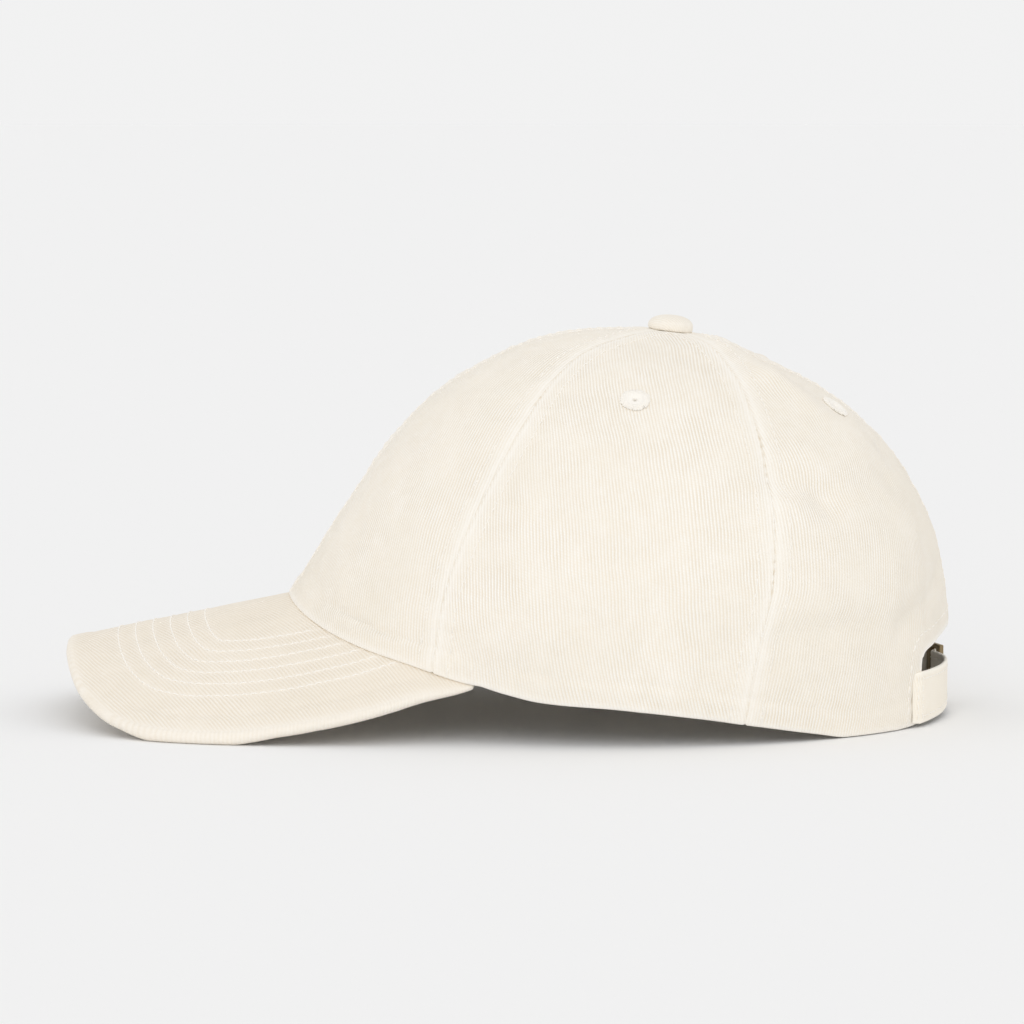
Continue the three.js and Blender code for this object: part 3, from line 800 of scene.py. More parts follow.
def brim_crease(a, high):
    """The turned-in edge above the brim, with its crease, and the pinches at the brim's corner."""
    degrees = np.degrees(a)
    front = 1 - smooth_step(degrees, 55, 66)
    crease = -0.75 * hump(high, 7.2 + 0.5 * np.sin(degrees / 4), 0.85) * hump(degrees, 39, 15)
    raised = 0.35 * (1 - smooth_step(high, 5.2, 8.2)) * front
    at = np.stack([degrees - 64, high - 6.5], -1)
    pinch = 0.33 * np.sin(2 * math.pi * (0.42 * at[..., 0] + 0.17 * at[..., 1]))
    pinch *= np.exp(-((at[..., 0] / 6.5) ** 2) - (at[..., 1] / 5.0) ** 2)
    return crease + raised + pinch


def rim_hem(high):
    """Along the lower edge the cloth is turned in, so it is a little thicker."""
    return 0.3 * (1 - smooth_step(high, 5.5, 8.5)) - 0.12 * hump(high, 8.2, 1.2)


def puffed(side, t):
    """How far a panel stands out between its seams."""
    return PUFF * np.sin(math.pi * side) * np.sin(math.pi * np.minimum(t * 1.2, 1) * 0.9)


def panel_skin(kind, side, t, seed, seams, extra=None):
    """Outer face of a panel, its direction outward, and its wear with painted light: paler edges and
    painted shade in the seams.
    """
    low, high = panel_angles(kind, t)
    a = low + (high - low) * side
    p = crown_on_rim(a, t)
    n = normal_at(a, t)
    calm = np.clip((t - 0.08) * 8, 0, 1) * np.minimum((1 - t) * 8, 1)
    quiet = away_from_eyelets(p)
    low_calm = np.minimum(t * 20, 1)
    relief = puffed(side, t) * calm + fold_height(p) * quiet * low_calm
    fade = smooth_step(1 - t, 0.02, 0.09)
    wear_and_painted_light = np.zeros_like(t)
    painted_seam_shade = np.zeros_like(t)
    for number, seam in enumerate(seams, FIRST_SEAM[kind]):
        gap, along = near_line(p, seam)
        seam_seed = SEAMS[number][0]
        show = seam_show(number, t)
        relief += fade * seam_relief(gap, along, seam_seed, show)
        # Paler beside the seam on its raised turned-in edges: wear and a painted highlight.
        wear_and_painted_light = np.maximum(wear_and_painted_light, 0.5 * hump(gap, 1.2, 1.0) + 0.2 * hump(gap, 3.2, 1.6))
        # Painted shade: a dashed dark line where the seam's pucker lies in shadow.
        uneven = 0.55 + 0.3 * np.sin(along / 6.1 + seam_seed) + 0.25 * np.sin(along / 2.3 + seam_seed)
        open_share = 0.1 + 0.9 * pucker(along, PANEL_STITCH[0])**2
        painted_seam_shade += 1.1 * show * fade * uneven * hump(gap, 0, 0.6) * open_share
        quiet = quiet * smooth_step(gap, 0.5, 7)
    relief += 0.22 * ripples(p, 26, seed) * quiet * low_calm * np.minimum((1 - t) * 6, 1)
    relief += 0.06 * ripples(p, 8, seed + 1) * quiet
    above = np.linalg.norm(p - crown_on_rim(a, np.zeros_like(t)), axis=-1)
    if kind != "back":
        relief += brim_crease(a, above)
    behind = smooth_step(p[..., 1], BRIM_CORNER - 4, BRIM_CORNER + 10)
    relief += rim_hem(above) * behind
    # Paler along the rim's rolled edge: wear and a painted highlight.
    wear_and_painted_light = np.maximum(wear_and_painted_light, 0.8 * hump(above, 0, 1.6))
    if extra is not None:
        gap, along = near_line(p, extra)
        held = 0.5 + 0.5 * pucker(along, PANEL_STITCH[0])
        relief += 0.12 * (1 - smooth_step(gap, 5.6, 8.0)) - 0.1 * hump(gap, OPENING_ROW, 0.8) * held
        # Paler along the opening's rolled edge: wear and a painted highlight.
        wear_and_painted_light = np.maximum(wear_and_painted_light, 0.8 * hump(gap, 0, 1.4))
    return p + n * relief[..., None], n, wear_and_painted_light - painted_seam_shade


def columns_between(width, fine, coarse, margin):
    """Shares from 0 to 1 that are close together near both ends and wider apart between."""
    edge = np.arange(0, margin, fine) / width
    middle = np.linspace(margin, width - margin, int(round((width - 2 * margin) / coarse)) + 1) / width
    return np.concatenate([edge, middle, 1 - edge[::-1]])


def arch_share(sides, clear):
    """Height share at which each column of the back panel meets the arch of the opening."""
    def under(t):
        p = panel_place("back", sides, t)
        return p[:, 2] < smooth_value(OPENING_ARCH, np.abs(p[:, 0])) + clear

    return boundary(np.zeros_like(sides), np.full_like(sides, 0.4), under)


def corner_column(clear):
    """Share of the back panel's width at which the opening begins."""
    height = 0.11
    return boundary(0.0, 1.0, lambda side: panel_place("back", side, height)[0] > OPENING_HALF + clear)


def panel_layout(kind):
    """Side and height shares of the panel's grid, and which of its cells there are."""
    panel_height, low_rows, up_rows = 160, 26, 150
    rest = np.linspace(ROLL / panel_height, CROWN_END - 0.002, low_rows + up_rows)
    width = {"front": 84, "side": 86, "back": 92}[kind]
    if kind != "back":
        side = columns_between(width, 0.55, 1.35, 8.5)
        t = np.repeat(rest[:, None], len(side), 1)
        return side, t, None
    corner = corner_column(ROLL)
    before = columns_between(width * corner, 0.6, 1.3, 8)
    beyond = columns_between(width * (1 - corner), 0.6, 1.2, 5)
    side = np.concatenate([before * corner, corner + beyond[1:] * (1 - corner)])
    split = len(before) - 1
    arch = np.where(side >= side[split] - 1e-9, arch_share(side, ROLL), 0)
    arch[:split] = arch[split]
    low = rest[0] + (arch[None] - rest[0]) * np.linspace(0, 1, low_rows, endpoint=False)[:, None]
    high = arch[None] + (rest[-1] - arch[None]) * np.linspace(0, 1, up_rows)[:, None]
    t = np.vstack([low, high])
    keep = np.ones((len(t) - 1, len(side) - 1), bool)
    keep[:low_rows, split:] = False
    return side, t, keep


def inset_side(side, width):
    """Side shares drawn in from both seams, so that neighbouring panels stay clear of each other."""
    gap = SEAM_CLEAR / width
    return gap + (1 - 2 * gap) * side


def panel_width(kind, t):
    """Width of a panel along its curve at each height share."""
    heights = np.linspace(0, 0.99, 100)
    share = np.linspace(0, 1, 60)
    low, high = panel_angles(kind, heights)
    p = crown(low[:, None] + (high - low)[:, None] * share, heights[:, None])
    return np.interp(t, heights, np.linalg.norm(np.diff(p, axis=1), axis=2).sum(1))


def crisp_seams(mesh, at_seam):
    """A hard corner along both seams of a panel, so that two panels meet flush."""
    count = len(at_seam)
    ends = np.empty(len(mesh.edges) * 2, np.int32)
    mesh.edges.foreach_get("vertices", ends)
    ends = ends.reshape(-1, 2)
    on_skin = (ends < 2 * count).all(1) & (ends[:, 0] // count == ends[:, 1] // count)
    mesh.edges.foreach_set("use_edge_sharp", on_skin & at_seam[ends % count].all(1))
    mesh.update()


def crown_panel(kind, flip):
    """One panel with its rows of stitches; the right ones are mirrored and have ripples of their own."""
    seed = {"front": 11, "side": 31, "back": 51}[kind] + (100 if flip else 0)
    side, t, keep = panel_layout(kind)
    shares = inset_side(np.repeat(side[None], len(t), 0), panel_width(kind, t))
    seams = [seam_line(kind, 0), seam_line(kind, 1)]
    edge = None
    if kind == "back":
        split = int(np.argmin(keep[0]))
        base = panel_place(kind, shares, t)
        low_rows = int((~keep[:, -1]).sum())
        edge = np.vstack([base[:low_rows, split], base[low_rows, split:]])
    skin, n, wear_and_painted_light = panel_skin(kind, shares, t, seed, seams, edge)
    faces = grid_faces(*t.shape, keep).reshape(-1, 4)
    outer = skin.reshape(-1, 3)
    inner = (skin - n * CLOTH).reshape(-1, 3)
    flat = weave_map(kind, skin, shares, t, -1 if flip else 1).reshape(-1, 2)
    if kind in EYELETS:
        faces = eyelet_opening(outer, inner, faces, kind)
    used = np.unique(faces)
    order = np.full(len(outer), -1)
    order[used] = np.arange(len(used))
    bulge = np.full(t.shape, ROLL / (CLOTH / 2))
    bulge[:, [0, -1]] = 0
    bulge = bulge.reshape(-1)[used]
    points, quads, source = rounded_shell(outer[used], inner[used], order[faces], bulge)
    weave = flat[used][source]
    worn_and_painted_light = wear_and_painted_light.reshape(-1)[used][source]
    if flip:
        points, quads = mirrored(points, quads)
    name = sided(f"crown_{kind}", flip)
    piece = mesh_piece(name + "_cloth", points, quads, crown_twill, weave, worn_and_painted_light)
    crisp_seams(piece.data, bulge == 0)
    wear_piece(piece, name, name)
    lines = panel_stitch_lines(kind, seed, seams, edge)
    if flip:
        lines = [line * [-1, 1, 1, -1, 1, 1] for line in lines]
    wear_piece(stitched(name + "_stitches", lines, PANEL_STITCH, seed), name)


def weave_map(kind, skin, shares, t, hand):
    """Flat place of each point, across and along the ribs."""
    middle = np.array([np.interp(0.5, row, np.arange(len(row))) for row in shares])
    steps = np.linalg.norm(np.diff(skin, axis=1), axis=2)
    run = np.concatenate([np.zeros((len(t), 1)), np.cumsum(steps, axis=1)], axis=1)
    centre = np.array([np.interp(m, np.arange(len(r)), r) for m, r in zip(middle, run)])
    u = run - centre[:, None]
    line_t = np.linspace(0, 1, 400)
    v = np.interp(t, line_t, run_of(panel_place(kind, 0.5, line_t)))
    return leaned(u, v, hand * TWILL_LEAN[kind])


def eyelet_place(kind):
    degrees, t = EYELETS[kind]
    h = 0.02

    def at(a, share):
        rows = section(share)
        low, high = (rows[SEAM_A], rows[SEAM_B]) if kind == "side" else (rows[SEAM_B], 180)
        place = math.radians(a)
        p = crown_on_rim(place, share)
        raised = puffed((a - low) / (high - low), share) + fold_height(p) * away_from_eyelets(p)
        return p + normal_at(place, share) * raised

    across = at(degrees + 3, t) - at(degrees - 3, t)
    up = at(degrees, t + h) - at(degrees, t - h)
    return at(degrees, t), unit(np.cross(across, up))


def eyelet_opening(outer, inner, faces, kind):
    """Cells under the eyelet are left out, and the edge of the hole is made round."""
    left_out, drawn_round, radius = 2.3, 4.2, 2.95
    centre, normal = eyelet_place(kind)
    middle = outer[faces].mean(1) - centre
    away = np.linalg.norm(middle - (middle @ normal)[:, None] * normal, axis=1)
    near = np.abs(middle @ normal) < 5
    faces = faces[~((away < left_out) & near)]
    ring = np.unique(edge_ring(faces))
    for layer in (outer, inner):
        off = layer[ring] - centre
        height = (off @ normal)[:, None] * normal
        flat = off - height
        far = np.linalg.norm(flat, axis=1, keepdims=True)
        close = far[:, 0] < drawn_round
        moved = centre + height + flat / np.maximum(far, 1e-6) * radius
        layer[ring[close]] = moved[close]
    return faces


def panel_stitch_lines(kind, seed, seams, edge):
    """Stitch rows on a panel: beside both seams, and round the opening in the back."""
    lines = []
    t = np.linspace(0.012, 0.93, 320)
    width = panel_width(kind, t)
    for end, seam in enumerate(seams):
        share = np.clip(SEAM_ROW / width, 0, 0.5)
        for _ in range(4):
            place = share if end == 0 else 1 - share
            gap, _ = near_line(panel_place(kind, place, t), seam)
            share = np.clip(share * SEAM_ROW / np.maximum(gap, 0.1), 0, 0.5)
        place = share if end == 0 else 1 - share
        skin, n, _ = panel_skin(kind, place, t, seed, seams, edge)
        fits = share < 0.42
        if kind == "back" and end == 1:
            fits &= skin[:, 2] > 35
        lines.append(np.hstack([skin + n * STITCH_LIFT, n])[fits])
    if kind == "back":
        lines += opening_row(seed, seams, edge)
    return lines


def opening_row(seed, seams, edge):
    """The row of stitches outside the opening's edge: up its end, round its corner, over its arch."""
    corner_z = 22.0
    flat = [(OPENING_HALF + OPENING_ROW, z) for z in np.linspace(2.5, corner_z, 30)]
    for q in np.linspace(0.1, math.pi / 2 - 0.12, 12):
        c, s = math.cos(q), math.sin(q)
        flat.append((OPENING_HALF + OPENING_ROW * c - 2.5 * (1 - c), corner_z + 7.2 * s))
    flat += [(x, float(smooth_value(OPENING_ARCH, x)) + OPENING_ROW) for x in np.linspace(34, 0.8, 50)]
    flat = np.array(flat)
    t = np.full(len(flat), 0.12)
    side = np.full(len(flat), 0.6)
    for _ in range(60):
        p = panel_place("back", side, t)
        side = np.clip(side + (p[:, 0] - flat[:, 0]) / 130, 0.01, 0.999)
        t = np.clip(t + (flat[:, 1] - p[:, 2]) / 190, 0.002, 0.6)
    skin, n, _ = panel_skin("back", side, t, seed, seams, edge)
    return [respaced(np.hstack([skin + n * STITCH_LIFT, n]), 0.8)]


for kind in PANELS:
    for flip in (False, True):
        crown_panel(kind, flip)


edge_points = [(-x, y, 0) for x, y in BRIM_EDGE[:0:-1]] + [(x, y, 0) for x, y in BRIM_EDGE]
EDGE_LINE = curve_through(edge_points, 2001)


def corner_angle():
    """Angle at which the brim ends on the crown."""
    before_corner = 3.5
    a = math.radians(40)
    while crown(a, 0.0)[1] < BRIM_CORNER - before_corner:
        a += math.radians(0.2)
    return a


CORNER = corner_angle()


def brim_plan(s, reach, roll):
    """Place on the brim in plan: s from one corner (-1) to the other (1), reach from the crown outward."""
    a = np.abs(s) * CORNER
    foot = crown(a, np.zeros_like(a))
    along = crown(a + 0.01, np.zeros_like(a)) - crown(a - 0.01, np.zeros_like(a))
    out = unit(np.stack([along[..., 1], -along[..., 0], np.zeros_like(a)], -1))
    p = foot - out * BRIM_TUCK
    at = (1 + s) / 2 * (len(EDGE_LINE) - 1)
    q = np.stack([np.interp(at, np.arange(len(EDGE_LINE)), EDGE_LINE[:, c]) for c in range(2)], -1)
    start = np.stack([np.sign(s) * p[..., 0], p[..., 1]], -1)
    length = np.linalg.norm(q - start, axis=-1)
    reach = reach * (1 - roll / np.maximum(length, roll * 1.2 + 1e-6))
    return start + (q - start) * reach[..., None]


def brim_relief(p, fade, seed):
    """Quilting of the stitch rows and the turned-in edge round the outline."""
    gap, along = near_line(p * [1, 1, 0], EDGE_LINE)
    total = 0.22 * (1 - smooth_step(gap, 5.0, 8.0)) - 0.1 * hump(gap, 8.0, 1.2)
    for number, row in enumerate(BRIM_ROWS):
        total -= 0.14 * hump(gap, row, 1.0) * (0.6 + 0.4 * pucker(along, BRIM_STITCH[0], number))
    total += 0.07 * ripples(p, 9, seed) + 0.12 * ripples(p, 28, seed + 1)
    return total * fade, gap


def brim_skins(s, reach):
    """Both faces of the brim; beneath, it thins to its corners, and its lowest part lies on the floor."""
    corner_thick, settle = 1.6, 2.4
    plan = brim_plan(s, reach, BRIM_THICK / 2)
    x, y = plan[..., 0], plan[..., 1]
    z = brim_top(x, y)
    p = np.stack([x, y, z], -1)
    foot = crown(np.abs(s) * CORNER, np.zeros_like(s))
    from_crown = np.linalg.norm(plan - np.stack([np.sign(s) * foot[..., 0], foot[..., 1]], -1), axis=-1)
    fade = smooth_step(from_crown, 2.0, 6.5) * smooth_step(reach, 0.08, 0.2)
    relief, gap = brim_relief(p, fade, 71)
    taper = np.minimum(np.abs(np.abs(s) - 1) * 8, 1)
    thick = corner_thick + (BRIM_THICK - corner_thick) * taper
    h = 0.3
    slope_x = (brim_top(x + h, y) - brim_top(x - h, y)) / (2 * h)
    slope_y = (brim_top(x, y + h) - brim_top(x, y - h)) / (2 * h)
    n = unit(np.stack([-slope_x, -slope_y, np.ones_like(z)], -1))
    top = p + n * relief[..., None]
    low = z - thick
    low = np.where(low > settle, low, np.maximum((low - 1) * settle / (settle - 1), 0))
    under_relief, _ = brim_relief(p, fade, 81)
    raised = np.where(low > 1.2, 1, smooth_step(low, 0.2, 1.2))
    under = np.stack([x, y, low - np.minimum(under_relief, 0) * raised], -1)
    return top, under, n, gap, from_crown


def row_places(gap, row, from_crown, grids):
    """Where a stitch row crosses each column of the brim's grid, clear of the crown."""
    hidden_rows = 8
    places = []
    for j in range(gap.shape[1]):
        profile = gap[:, j] - row
        crossings = np.where(profile[:-1] * profile[1:] <= 0)[0]
        if len(crossings) == 0:
            continue
        k = crossings[-1]
        f = profile[k] / (profile[k] - profile[k + 1] + 1e-9)
        if from_crown[k, j] >= 1.0 and k + f >= hidden_rows:
            places.append([grid[k, j] * (1 - f) + grid[k + 1, j] * f for grid in grids])
    return (np.array(column) for column in zip(*places))


def make_brim():
    columns, rows = 281, 104
    s = np.linspace(1, -1, columns)
    reach = np.sin(math.pi / 2 * np.linspace(0, 1, rows)) ** 1.1
    s_grid, reach_grid = np.meshgrid(s, reach)
    top, under, n, gap, from_crown = brim_skins(s_grid, reach_grid)
    faces = grid_faces(*s_grid.shape)
    points, quads, source = rounded_shell(top.reshape(-1, 3), under.reshape(-1, 3), faces, 0.95, 5)
    across = np.linspace(0, 85, 86)
    drape = run_of(np.column_stack([across, 0 * across, brim_top(across, -90)]))
    x, y, _ = top.reshape(-1, 3).T
    weave = leaned(np.sign(x) * np.interp(np.abs(x), across, drape), y, TWILL_LEAN["brim"])
    # Paler along the stitch rows from wear, and along the rolled edge from wear and a painted highlight.
    worn_and_painted_light = np.maximum(0.75 * hump(gap, 0, 2.4), 0.4 * sum(hump(gap, row, 1.0) for row in BRIM_ROWS))
    piece = mesh_piece("brim_cloth", points, quads, brim_twill, weave[source], worn_and_painted_light.reshape(-1)[source])
    wear_piece(piece, "brim", "brim")
    top_lines, under_lines = [], []
    floor_clear = 0.6
    for row in BRIM_ROWS:
        above, below, way = row_places(gap, row, from_crown, (top, under, n))
        top_lines.append(respaced(np.hstack([above + way * 0.06, way]), 0.7))
        line = np.hstack([below - [0, 0, 0.04], -way])
        changes = np.where(np.diff(line[:, 2] > floor_clear))[0] + 1
        parts = np.split(line, changes)
        under_lines += [part for part in parts if len(part) > 8 and part[0, 2] > floor_clear]
    wear_piece(stitched("brim_stitches", top_lines + under_lines, BRIM_STITCH, 5), "brim")


make_brim()


def make_button():
    normal = np.array([0, math.sin(BUTTON_LEAN), math.cos(BUTTON_LEAN)])
    under = -CLOTH - 0.35
    dome = [(6.4, 0.02), (6.85, 0.35), (7.0, 1.2), (6.85, 2.3), (5.9, 3.5), (4.2, 4.35), (2.2, 4.78),
            (0, 4.9)]
    shank = [(0, under - 0.8), (3.8, under - 0.8), (4.2, under - 0.55), (4.2, under - 0.2), (3.9, under),
             (2.2, under), (2.2, 0.32), (5.4, 0.2)]
    profile = shank + curve_through(dome, 26).tolist()
    segments = 72
    points, faces = turned(profile, segments, np.zeros(3), np.array([0, 0, 1.0]))
    radius = np.linalg.norm(points[:, :2], axis=1)
    turn = np.arctan2(points[:, 1], points[:, 0])
    lower = smooth_step(radius, 5.2, 6.8) * (points[:, 2] > 0.3)
    gathers = np.cos(turn * 11 + 0.8 * np.sin(turn * 3)) + 0.5 * np.cos(turn * 17 + 2)
    points[:, :2] *= (1 + 0.012 * lower * gathers)[:, None]
    run = run_of(np.array([(r, h, 0) for r, h in profile]))
    far = run[-1] - run
    arc = np.concatenate([[far[k]] * (1 if r < 1e-6 else segments) for k, (r, h) in enumerate(profile)])
    weave = np.stack([arc * np.cos(turn + 0.7), arc * np.sin(turn + 0.7)], -1)
    # Paler round the dome's rounded edge: wear and a painted highlight.
    wear_and_painted_light = 0.5 * hump(radius, 6.9, 0.5)
    skirt = smooth_step(radius, 4.5, 6.6) * smooth_step(1.6 - points[:, 2], 0, 1.2) * (points[:, 2] > -0.5)
    points[:, 2] -= skirt * (0.1 + 0.34 * np.sin(turn))
    points = placed(points, APEX, normal)
    piece = mesh_piece("top_button_cloth", points, faces, button_twill, weave, wear_and_painted_light)
    wear_piece(piece, "top_button", "top_button")


make_button()


def eyelet_tree():
    """Satin stitches that run over a ring from its bore to its outer edge."""
    sheet, given, names = group_tree(
        "eyelet_threads",
        ["Geometry", "Bore", "Reach", "Height", "Thickness", "Count", "Unevenness", "Seed", "Finish"],
    )
    bore, reach, height, count, uneven, seed = (
        given[key] for key in ("Bore", "Reach", "Height", "Count", "Unevenness", "Seed")
    )
    sockets = {"Resolution": count, "Radius": 0.001}
    ring = sheet.node("GeometryNodeCurvePrimitiveCircle", values=sockets)
    over = (bore * 0.8 + reach * 0.25, height * 2.15)
    thread = thread_arc(sheet, (bore, height * -0.9), over, (reach, height * 0.2), given["Thickness"], 9)
    centre = sheet.node("GeometryNodeSetPosition", values={"Geometry": ring, "Position": (0.0, 0.0, 0.0)})
    place = sheet.node("GeometryNodeInputIndex") + sheet.chance(uneven * -1.0, uneven, seed)
    turn = sheet.vector(z=place / count * (2 * math.pi))
    rotation = sheet.node("FunctionNodeEulerToRotation", values=(turn,))
    close_tree(sheet, centre, thread, rotation, sheet.chance(0.94, 1.04, seed), given["Finish"])
    return sheet.tree, names


EYELET_TREE, EYELET_NAMES = eyelet_tree()


def make_eyelet(kind, flip):
    name = sided(f"eyelet_{kind}", flip)
    centre, normal = eyelet_place(kind)
    under = -CLOTH - 0.6
    profile = [(0.5, under - 0.5), (3.4, under - 0.5), (3.6, under - 0.3), (3.4, under), (2.5, under),
               (2.5, 0.25), (3.3, 0.12), (3.5, 0.22), (3.0, 0.5), (2.3, 0.65), (1.3, 0.55), (0.5, 0.15)]
    points, faces = turned(profile, 40, centre, normal)
    if flip:
        points, faces = mirrored(points, faces)
    ring = mesh_piece(name + "_ring", points, faces, cream_thread)
    wear_piece(ring, name, name)
    seat = bpy.data.meshes.new(name + "_seat")
    seat.from_pydata([(0, 0, 0)], [], [])
    values = {"Bore": 0.5 * MM, "Reach": 3.45 * MM, "Height": 0.62 * MM, "Thickness": 0.5 * MM,
              "Count": 56, "Unevenness": 0.12, "Seed": 3 + 10 * flip, "Finish": cream_thread}
    threads = grown(name + "_threads", seat, EYELET_TREE, EYELET_NAMES, values)
    mesh = threads.data
    flat = np.empty(len(mesh.vertices) * 3, np.float32)
    mesh.vertices.foreach_get("co", flat)
    stood = placed(flat.reshape(-1, 3) / MM, centre, normal)
    if flip:
        stood = stood * [-1, 1, 1]
        mesh.flip_normals()
    mesh.vertices.foreach_set("co", (stood * MM).astype(np.float32).ravel())
    mesh.update()
    wear_piece(threads, name)


for kind in EYELETS:
    for flip in (False, True):
        make_eyelet(kind, flip)


STRAP_RING = section(0.06)


def strap_y(x):
    """The strap's line in plan, round the back of the crown."""
    back_y, half, mid_y = STRAP_RING[2], STRAP_RING[4], STRAP_RING[5]
    return mid_y + (back_y - mid_y) * math.sqrt(1 - (x / half) ** 2)


def strap_point(x, offset):
    out = unit(np.array([strap_y(x - 0.5) - strap_y(x + 0.5), 1.0]))
    return np.array([x, strap_y(x)]) + out * offset


BUCKLE_FROM = strap_point(BUCKLE["x"] - 14, -0.3)
BUCKLE_TO = strap_point(BUCKLE["x"] + 14, -0.3)
BUCKLE_E = unit(BUCKLE_TO - BUCKLE_FROM)
BUCKLE_N = np.array([-BUCKLE_E[1], BUCKLE_E[0]])
BUCKLE_OUT = BUCKLE["thick"] / 2 + 0.3 + STRAP_THICK / 2


def at_buckle(e, n):
    """Place in plan, from distances along the buckle and out of it."""
    return (BUCKLE_FROM + BUCKLE_TO) / 2 + BUCKLE_E * e + BUCKLE_N * (n + BUCKLE_OUT)


def band(name, path, sewn_ends):
    """A cloth band on edge along a path in plan, with a stitch row near each long edge."""
    line = curve_through(path, int(run_of(np.asarray(path)).max() / 0.7))
    way = unit(np.gradient(line, axis=0))
    out = np.stack([-way[:, 1], way[:, 0]], -1)
    low = smooth_value(STRAP_LOW, line[:, 0])
    half = STRAP_THICK / 2
    up = np.linspace(0, 1, 27)
    bottom, top = low + half, STRAP_TOP - half
    z = bottom[:, None] + (top - bottom)[:, None] * up[None]
    run = run_of(line)
    from_edge = np.minimum(z - low[:, None], STRAP_TOP - z)
    held = pucker(run, PANEL_STITCH[0])[:, None]
    relief = -0.16 * hump(from_edge, STRAP_ROW, 0.6) * (0.5 + 0.5 * held) - 0.05
    outward = np.sign(out[0, 1])
    thin = 1.12 * (1 - smooth_step(run, 0, 4.0))[:, None]
    drawn_in = -0.28 * (1 - smooth_step(run, 4, 9))[:, None] * outward
    faces = grid_faces(*z.shape)
    skins = []
    for way_out in (1, -1):
        offset = way_out * (half + relief - (thin if way_out == outward else 0)) + drawn_in
        x = line[:, None, 0] + out[:, None, 0] * offset
        y = line[:, None, 1] + out[:, None, 1] * offset
        skins.append(np.stack([x, y, z], -1).reshape(-1, 3))
    points, quads, source = rounded_shell(skins[0], skins[1], faces)
    weave = leaned(np.repeat(run, z.shape[1]), z.ravel(), TWILL_LEAN["strap"])
    # Paler along the strap's rounded edges: wear and a painted highlight.
    worn_and_painted_light = 0.9 * hump(from_edge, 0.5, 0.8).reshape(-1)
    piece = mesh_piece(name + "_cloth", points, quads, strap_twill, weave[source], worn_and_painted_light[source])
    wear_piece(piece, name, name)
    lines = []
    for edge in (STRAP_ROW, -STRAP_ROW):
        height = low + edge if edge > 0 else np.full(len(low), STRAP_TOP + edge)
        for way_out in (1, -1):
            face = np.column_stack([line + out * way_out * (half - 0.1), height, out * way_out, 0 * height])
            lines.append(face[8:-3])
    for place in sewn_ends:
        k = int(np.argmin(np.abs(run - place)))
        heights = np.linspace(low[k] + STRAP_ROW, STRAP_TOP - STRAP_ROW, 20)
        side = out[k] if out[k] @ np.array([0, 1.0]) > 0 else -out[k]
        spot = line[k] + side * (half - 0.25 - float(thin[k, 0]))
        lines.append(np.array([(*spot, h, *side, 0) for h in heights]))
    wear_piece(stitched(name + "_stitches", lines, STRAP_STITCH, 9), name)


def make_strap():
    sewn = (1.8, 4.6)        # from a strap's end to the stitches across it
    on_panel = SEAM_GAP + STRAP_THICK / 2 + 0.45
    long_path = [strap_point(x, o) for x, o in [
        (STRAP_END, on_panel), (40, on_panel), (36, 0.8), (30, 0.4), (22, 0.1), (14, -0.1), (6, -0.2),
        (0, -0.3),
    ]]
    long_path += [at_buckle(e, n) for e, n in [
        (12, -1.75), (8, -1.75), (6.2, -1.7), (4.8, -0.95), (3.4, 0.5), (2.3, 1.5), (1.1, 1.78),
        (-1.1, 1.78), (-2.2, 1.3), (-2.9, 0.1), (-3.4, -1.4), (-4.4, -2.8), (-6.3, -3.5), (-9, -3.6),
        (-13, -3.5), (-17, -3.2),
    ]]
    band("strap_long", long_path, sewn)
    tab_path = [strap_point(x, o) for x, o in [(-STRAP_END, on_panel), (-40, on_panel), (-36.5, 1.3)]]
    tab_path += [at_buckle(e, n) for e, n in [
        (-13, 0.95), (-11, 1.6), (-9.4, 1.78), (-6.8, 1.75), (-5.7, 1.2), (-5.2, 0), (-5.7, -1.2),
        (-6.8, -1.75), (-9.4, -1.78), (-11, -1.6), (-13, -1.0), (-16, -0.9),
    ]]
    band("strap_tab", tab_path, sewn)


make_strap()


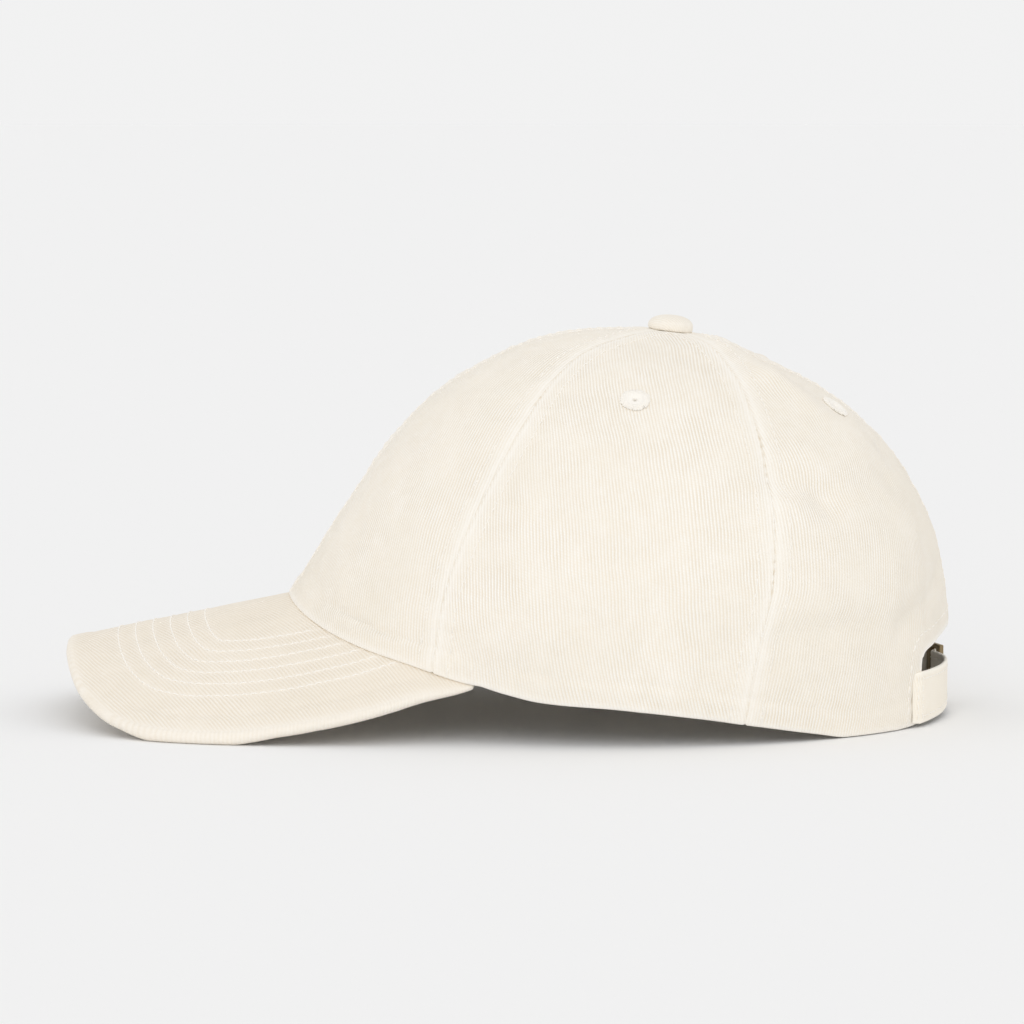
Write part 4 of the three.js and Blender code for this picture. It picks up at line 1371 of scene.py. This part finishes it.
def make_buckle():
    length, height, bar, rail, thick = (BUCKLE[k] for k in ("length", "height", "bar", "rail", "thick"))
    xs = [-length / 2, -length / 2 + bar, -bar / 2, bar / 2, length / 2 - bar, length / 2]
    zs = [-height / 2, -height / 2 + rail, height / 2 - rail, height / 2]
    flat = np.array([(x, z) for z in zs for x in xs])
    keep = np.ones((3, 5), bool)
    keep[1, 1] = keep[1, 3] = False
    faces = grid_faces(4, 6, keep)

    def layer(n):
        x, y = np.array([at_buckle(e, n) for e in flat[:, 0]]).T
        return np.stack([x, y, BUCKLE["middle"] + flat[:, 1]], -1)

    points, quads, _ = rounded_shell(layer(-thick / 2), layer(thick / 2), faces, 0.0, 0)
    piece = mesh_piece("strap_buckle_blank", points, quads, aged_brass)
    bevel = piece.modifiers.new("edges", "BEVEL")
    bevel.width = 0.42 * MM
    bevel.segments = 3
    bevel.limit_method = "ANGLE"
    wear_piece(plain_piece("strap_buckle_metal", piece), "strap_buckle", "strap_buckle")


make_buckle()


def studio():
    sides = 96
    turn = np.linspace(0, 2 * math.pi, sides, endpoint=False)
    points = [(0, 0, 0)] + [(FLOOR_REACH * math.cos(q), FLOOR_REACH * math.sin(q), 0) for q in turn]
    faces = [(0, 1 + k, 1 + (k + 1) % sides) for k in range(sides)]
    floor = mesh_piece("floor", np.array(points), faces, floor_finish("pale_floor"))
    world = bpy.data.worlds.new("studio")
    bpy.context.scene.world = world
    world.use_nodes = True
    background = world.node_tree.nodes["Background"]
    background.inputs["Color"].default_value = (SKY, SKY, SKY, 1)
    background.inputs["Strength"].default_value = 1.0
    light = bpy.data.lights.new("soft_sun", "SUN")
    light.angle = math.radians(SUN["spread"])
    light.energy = SUN["energy"]
    linked("soft_sun", light).rotation_euler = Vector(SUN["way"]).to_track_quat("-Z", "Y").to_euler()
    bpy.context.scene.view_settings.view_transform = "Standard"


def camera():
    aim = Vector(PHOTO["aim"]) * MM
    rise = math.radians(PHOTO["rise"])
    back = Vector((math.cos(rise), 0, math.sin(rise)))
    lens = bpy.data.cameras.new("camera")
    lens.sensor_width = 36
    lens.lens = PHOTO["per_mm"] * PHOTO["distance"] / PHOTO["width"] * lens.sensor_width
    lens.clip_start = 0.05
    lens.clip_end = 100
    made = linked("camera", lens)
    made.location = aim + back * (PHOTO["distance"] * MM)
    made.rotation_euler = (-back).to_track_quat("-Z", "Y").to_euler()
    bpy.context.scene.camera = made


camera()
studio()
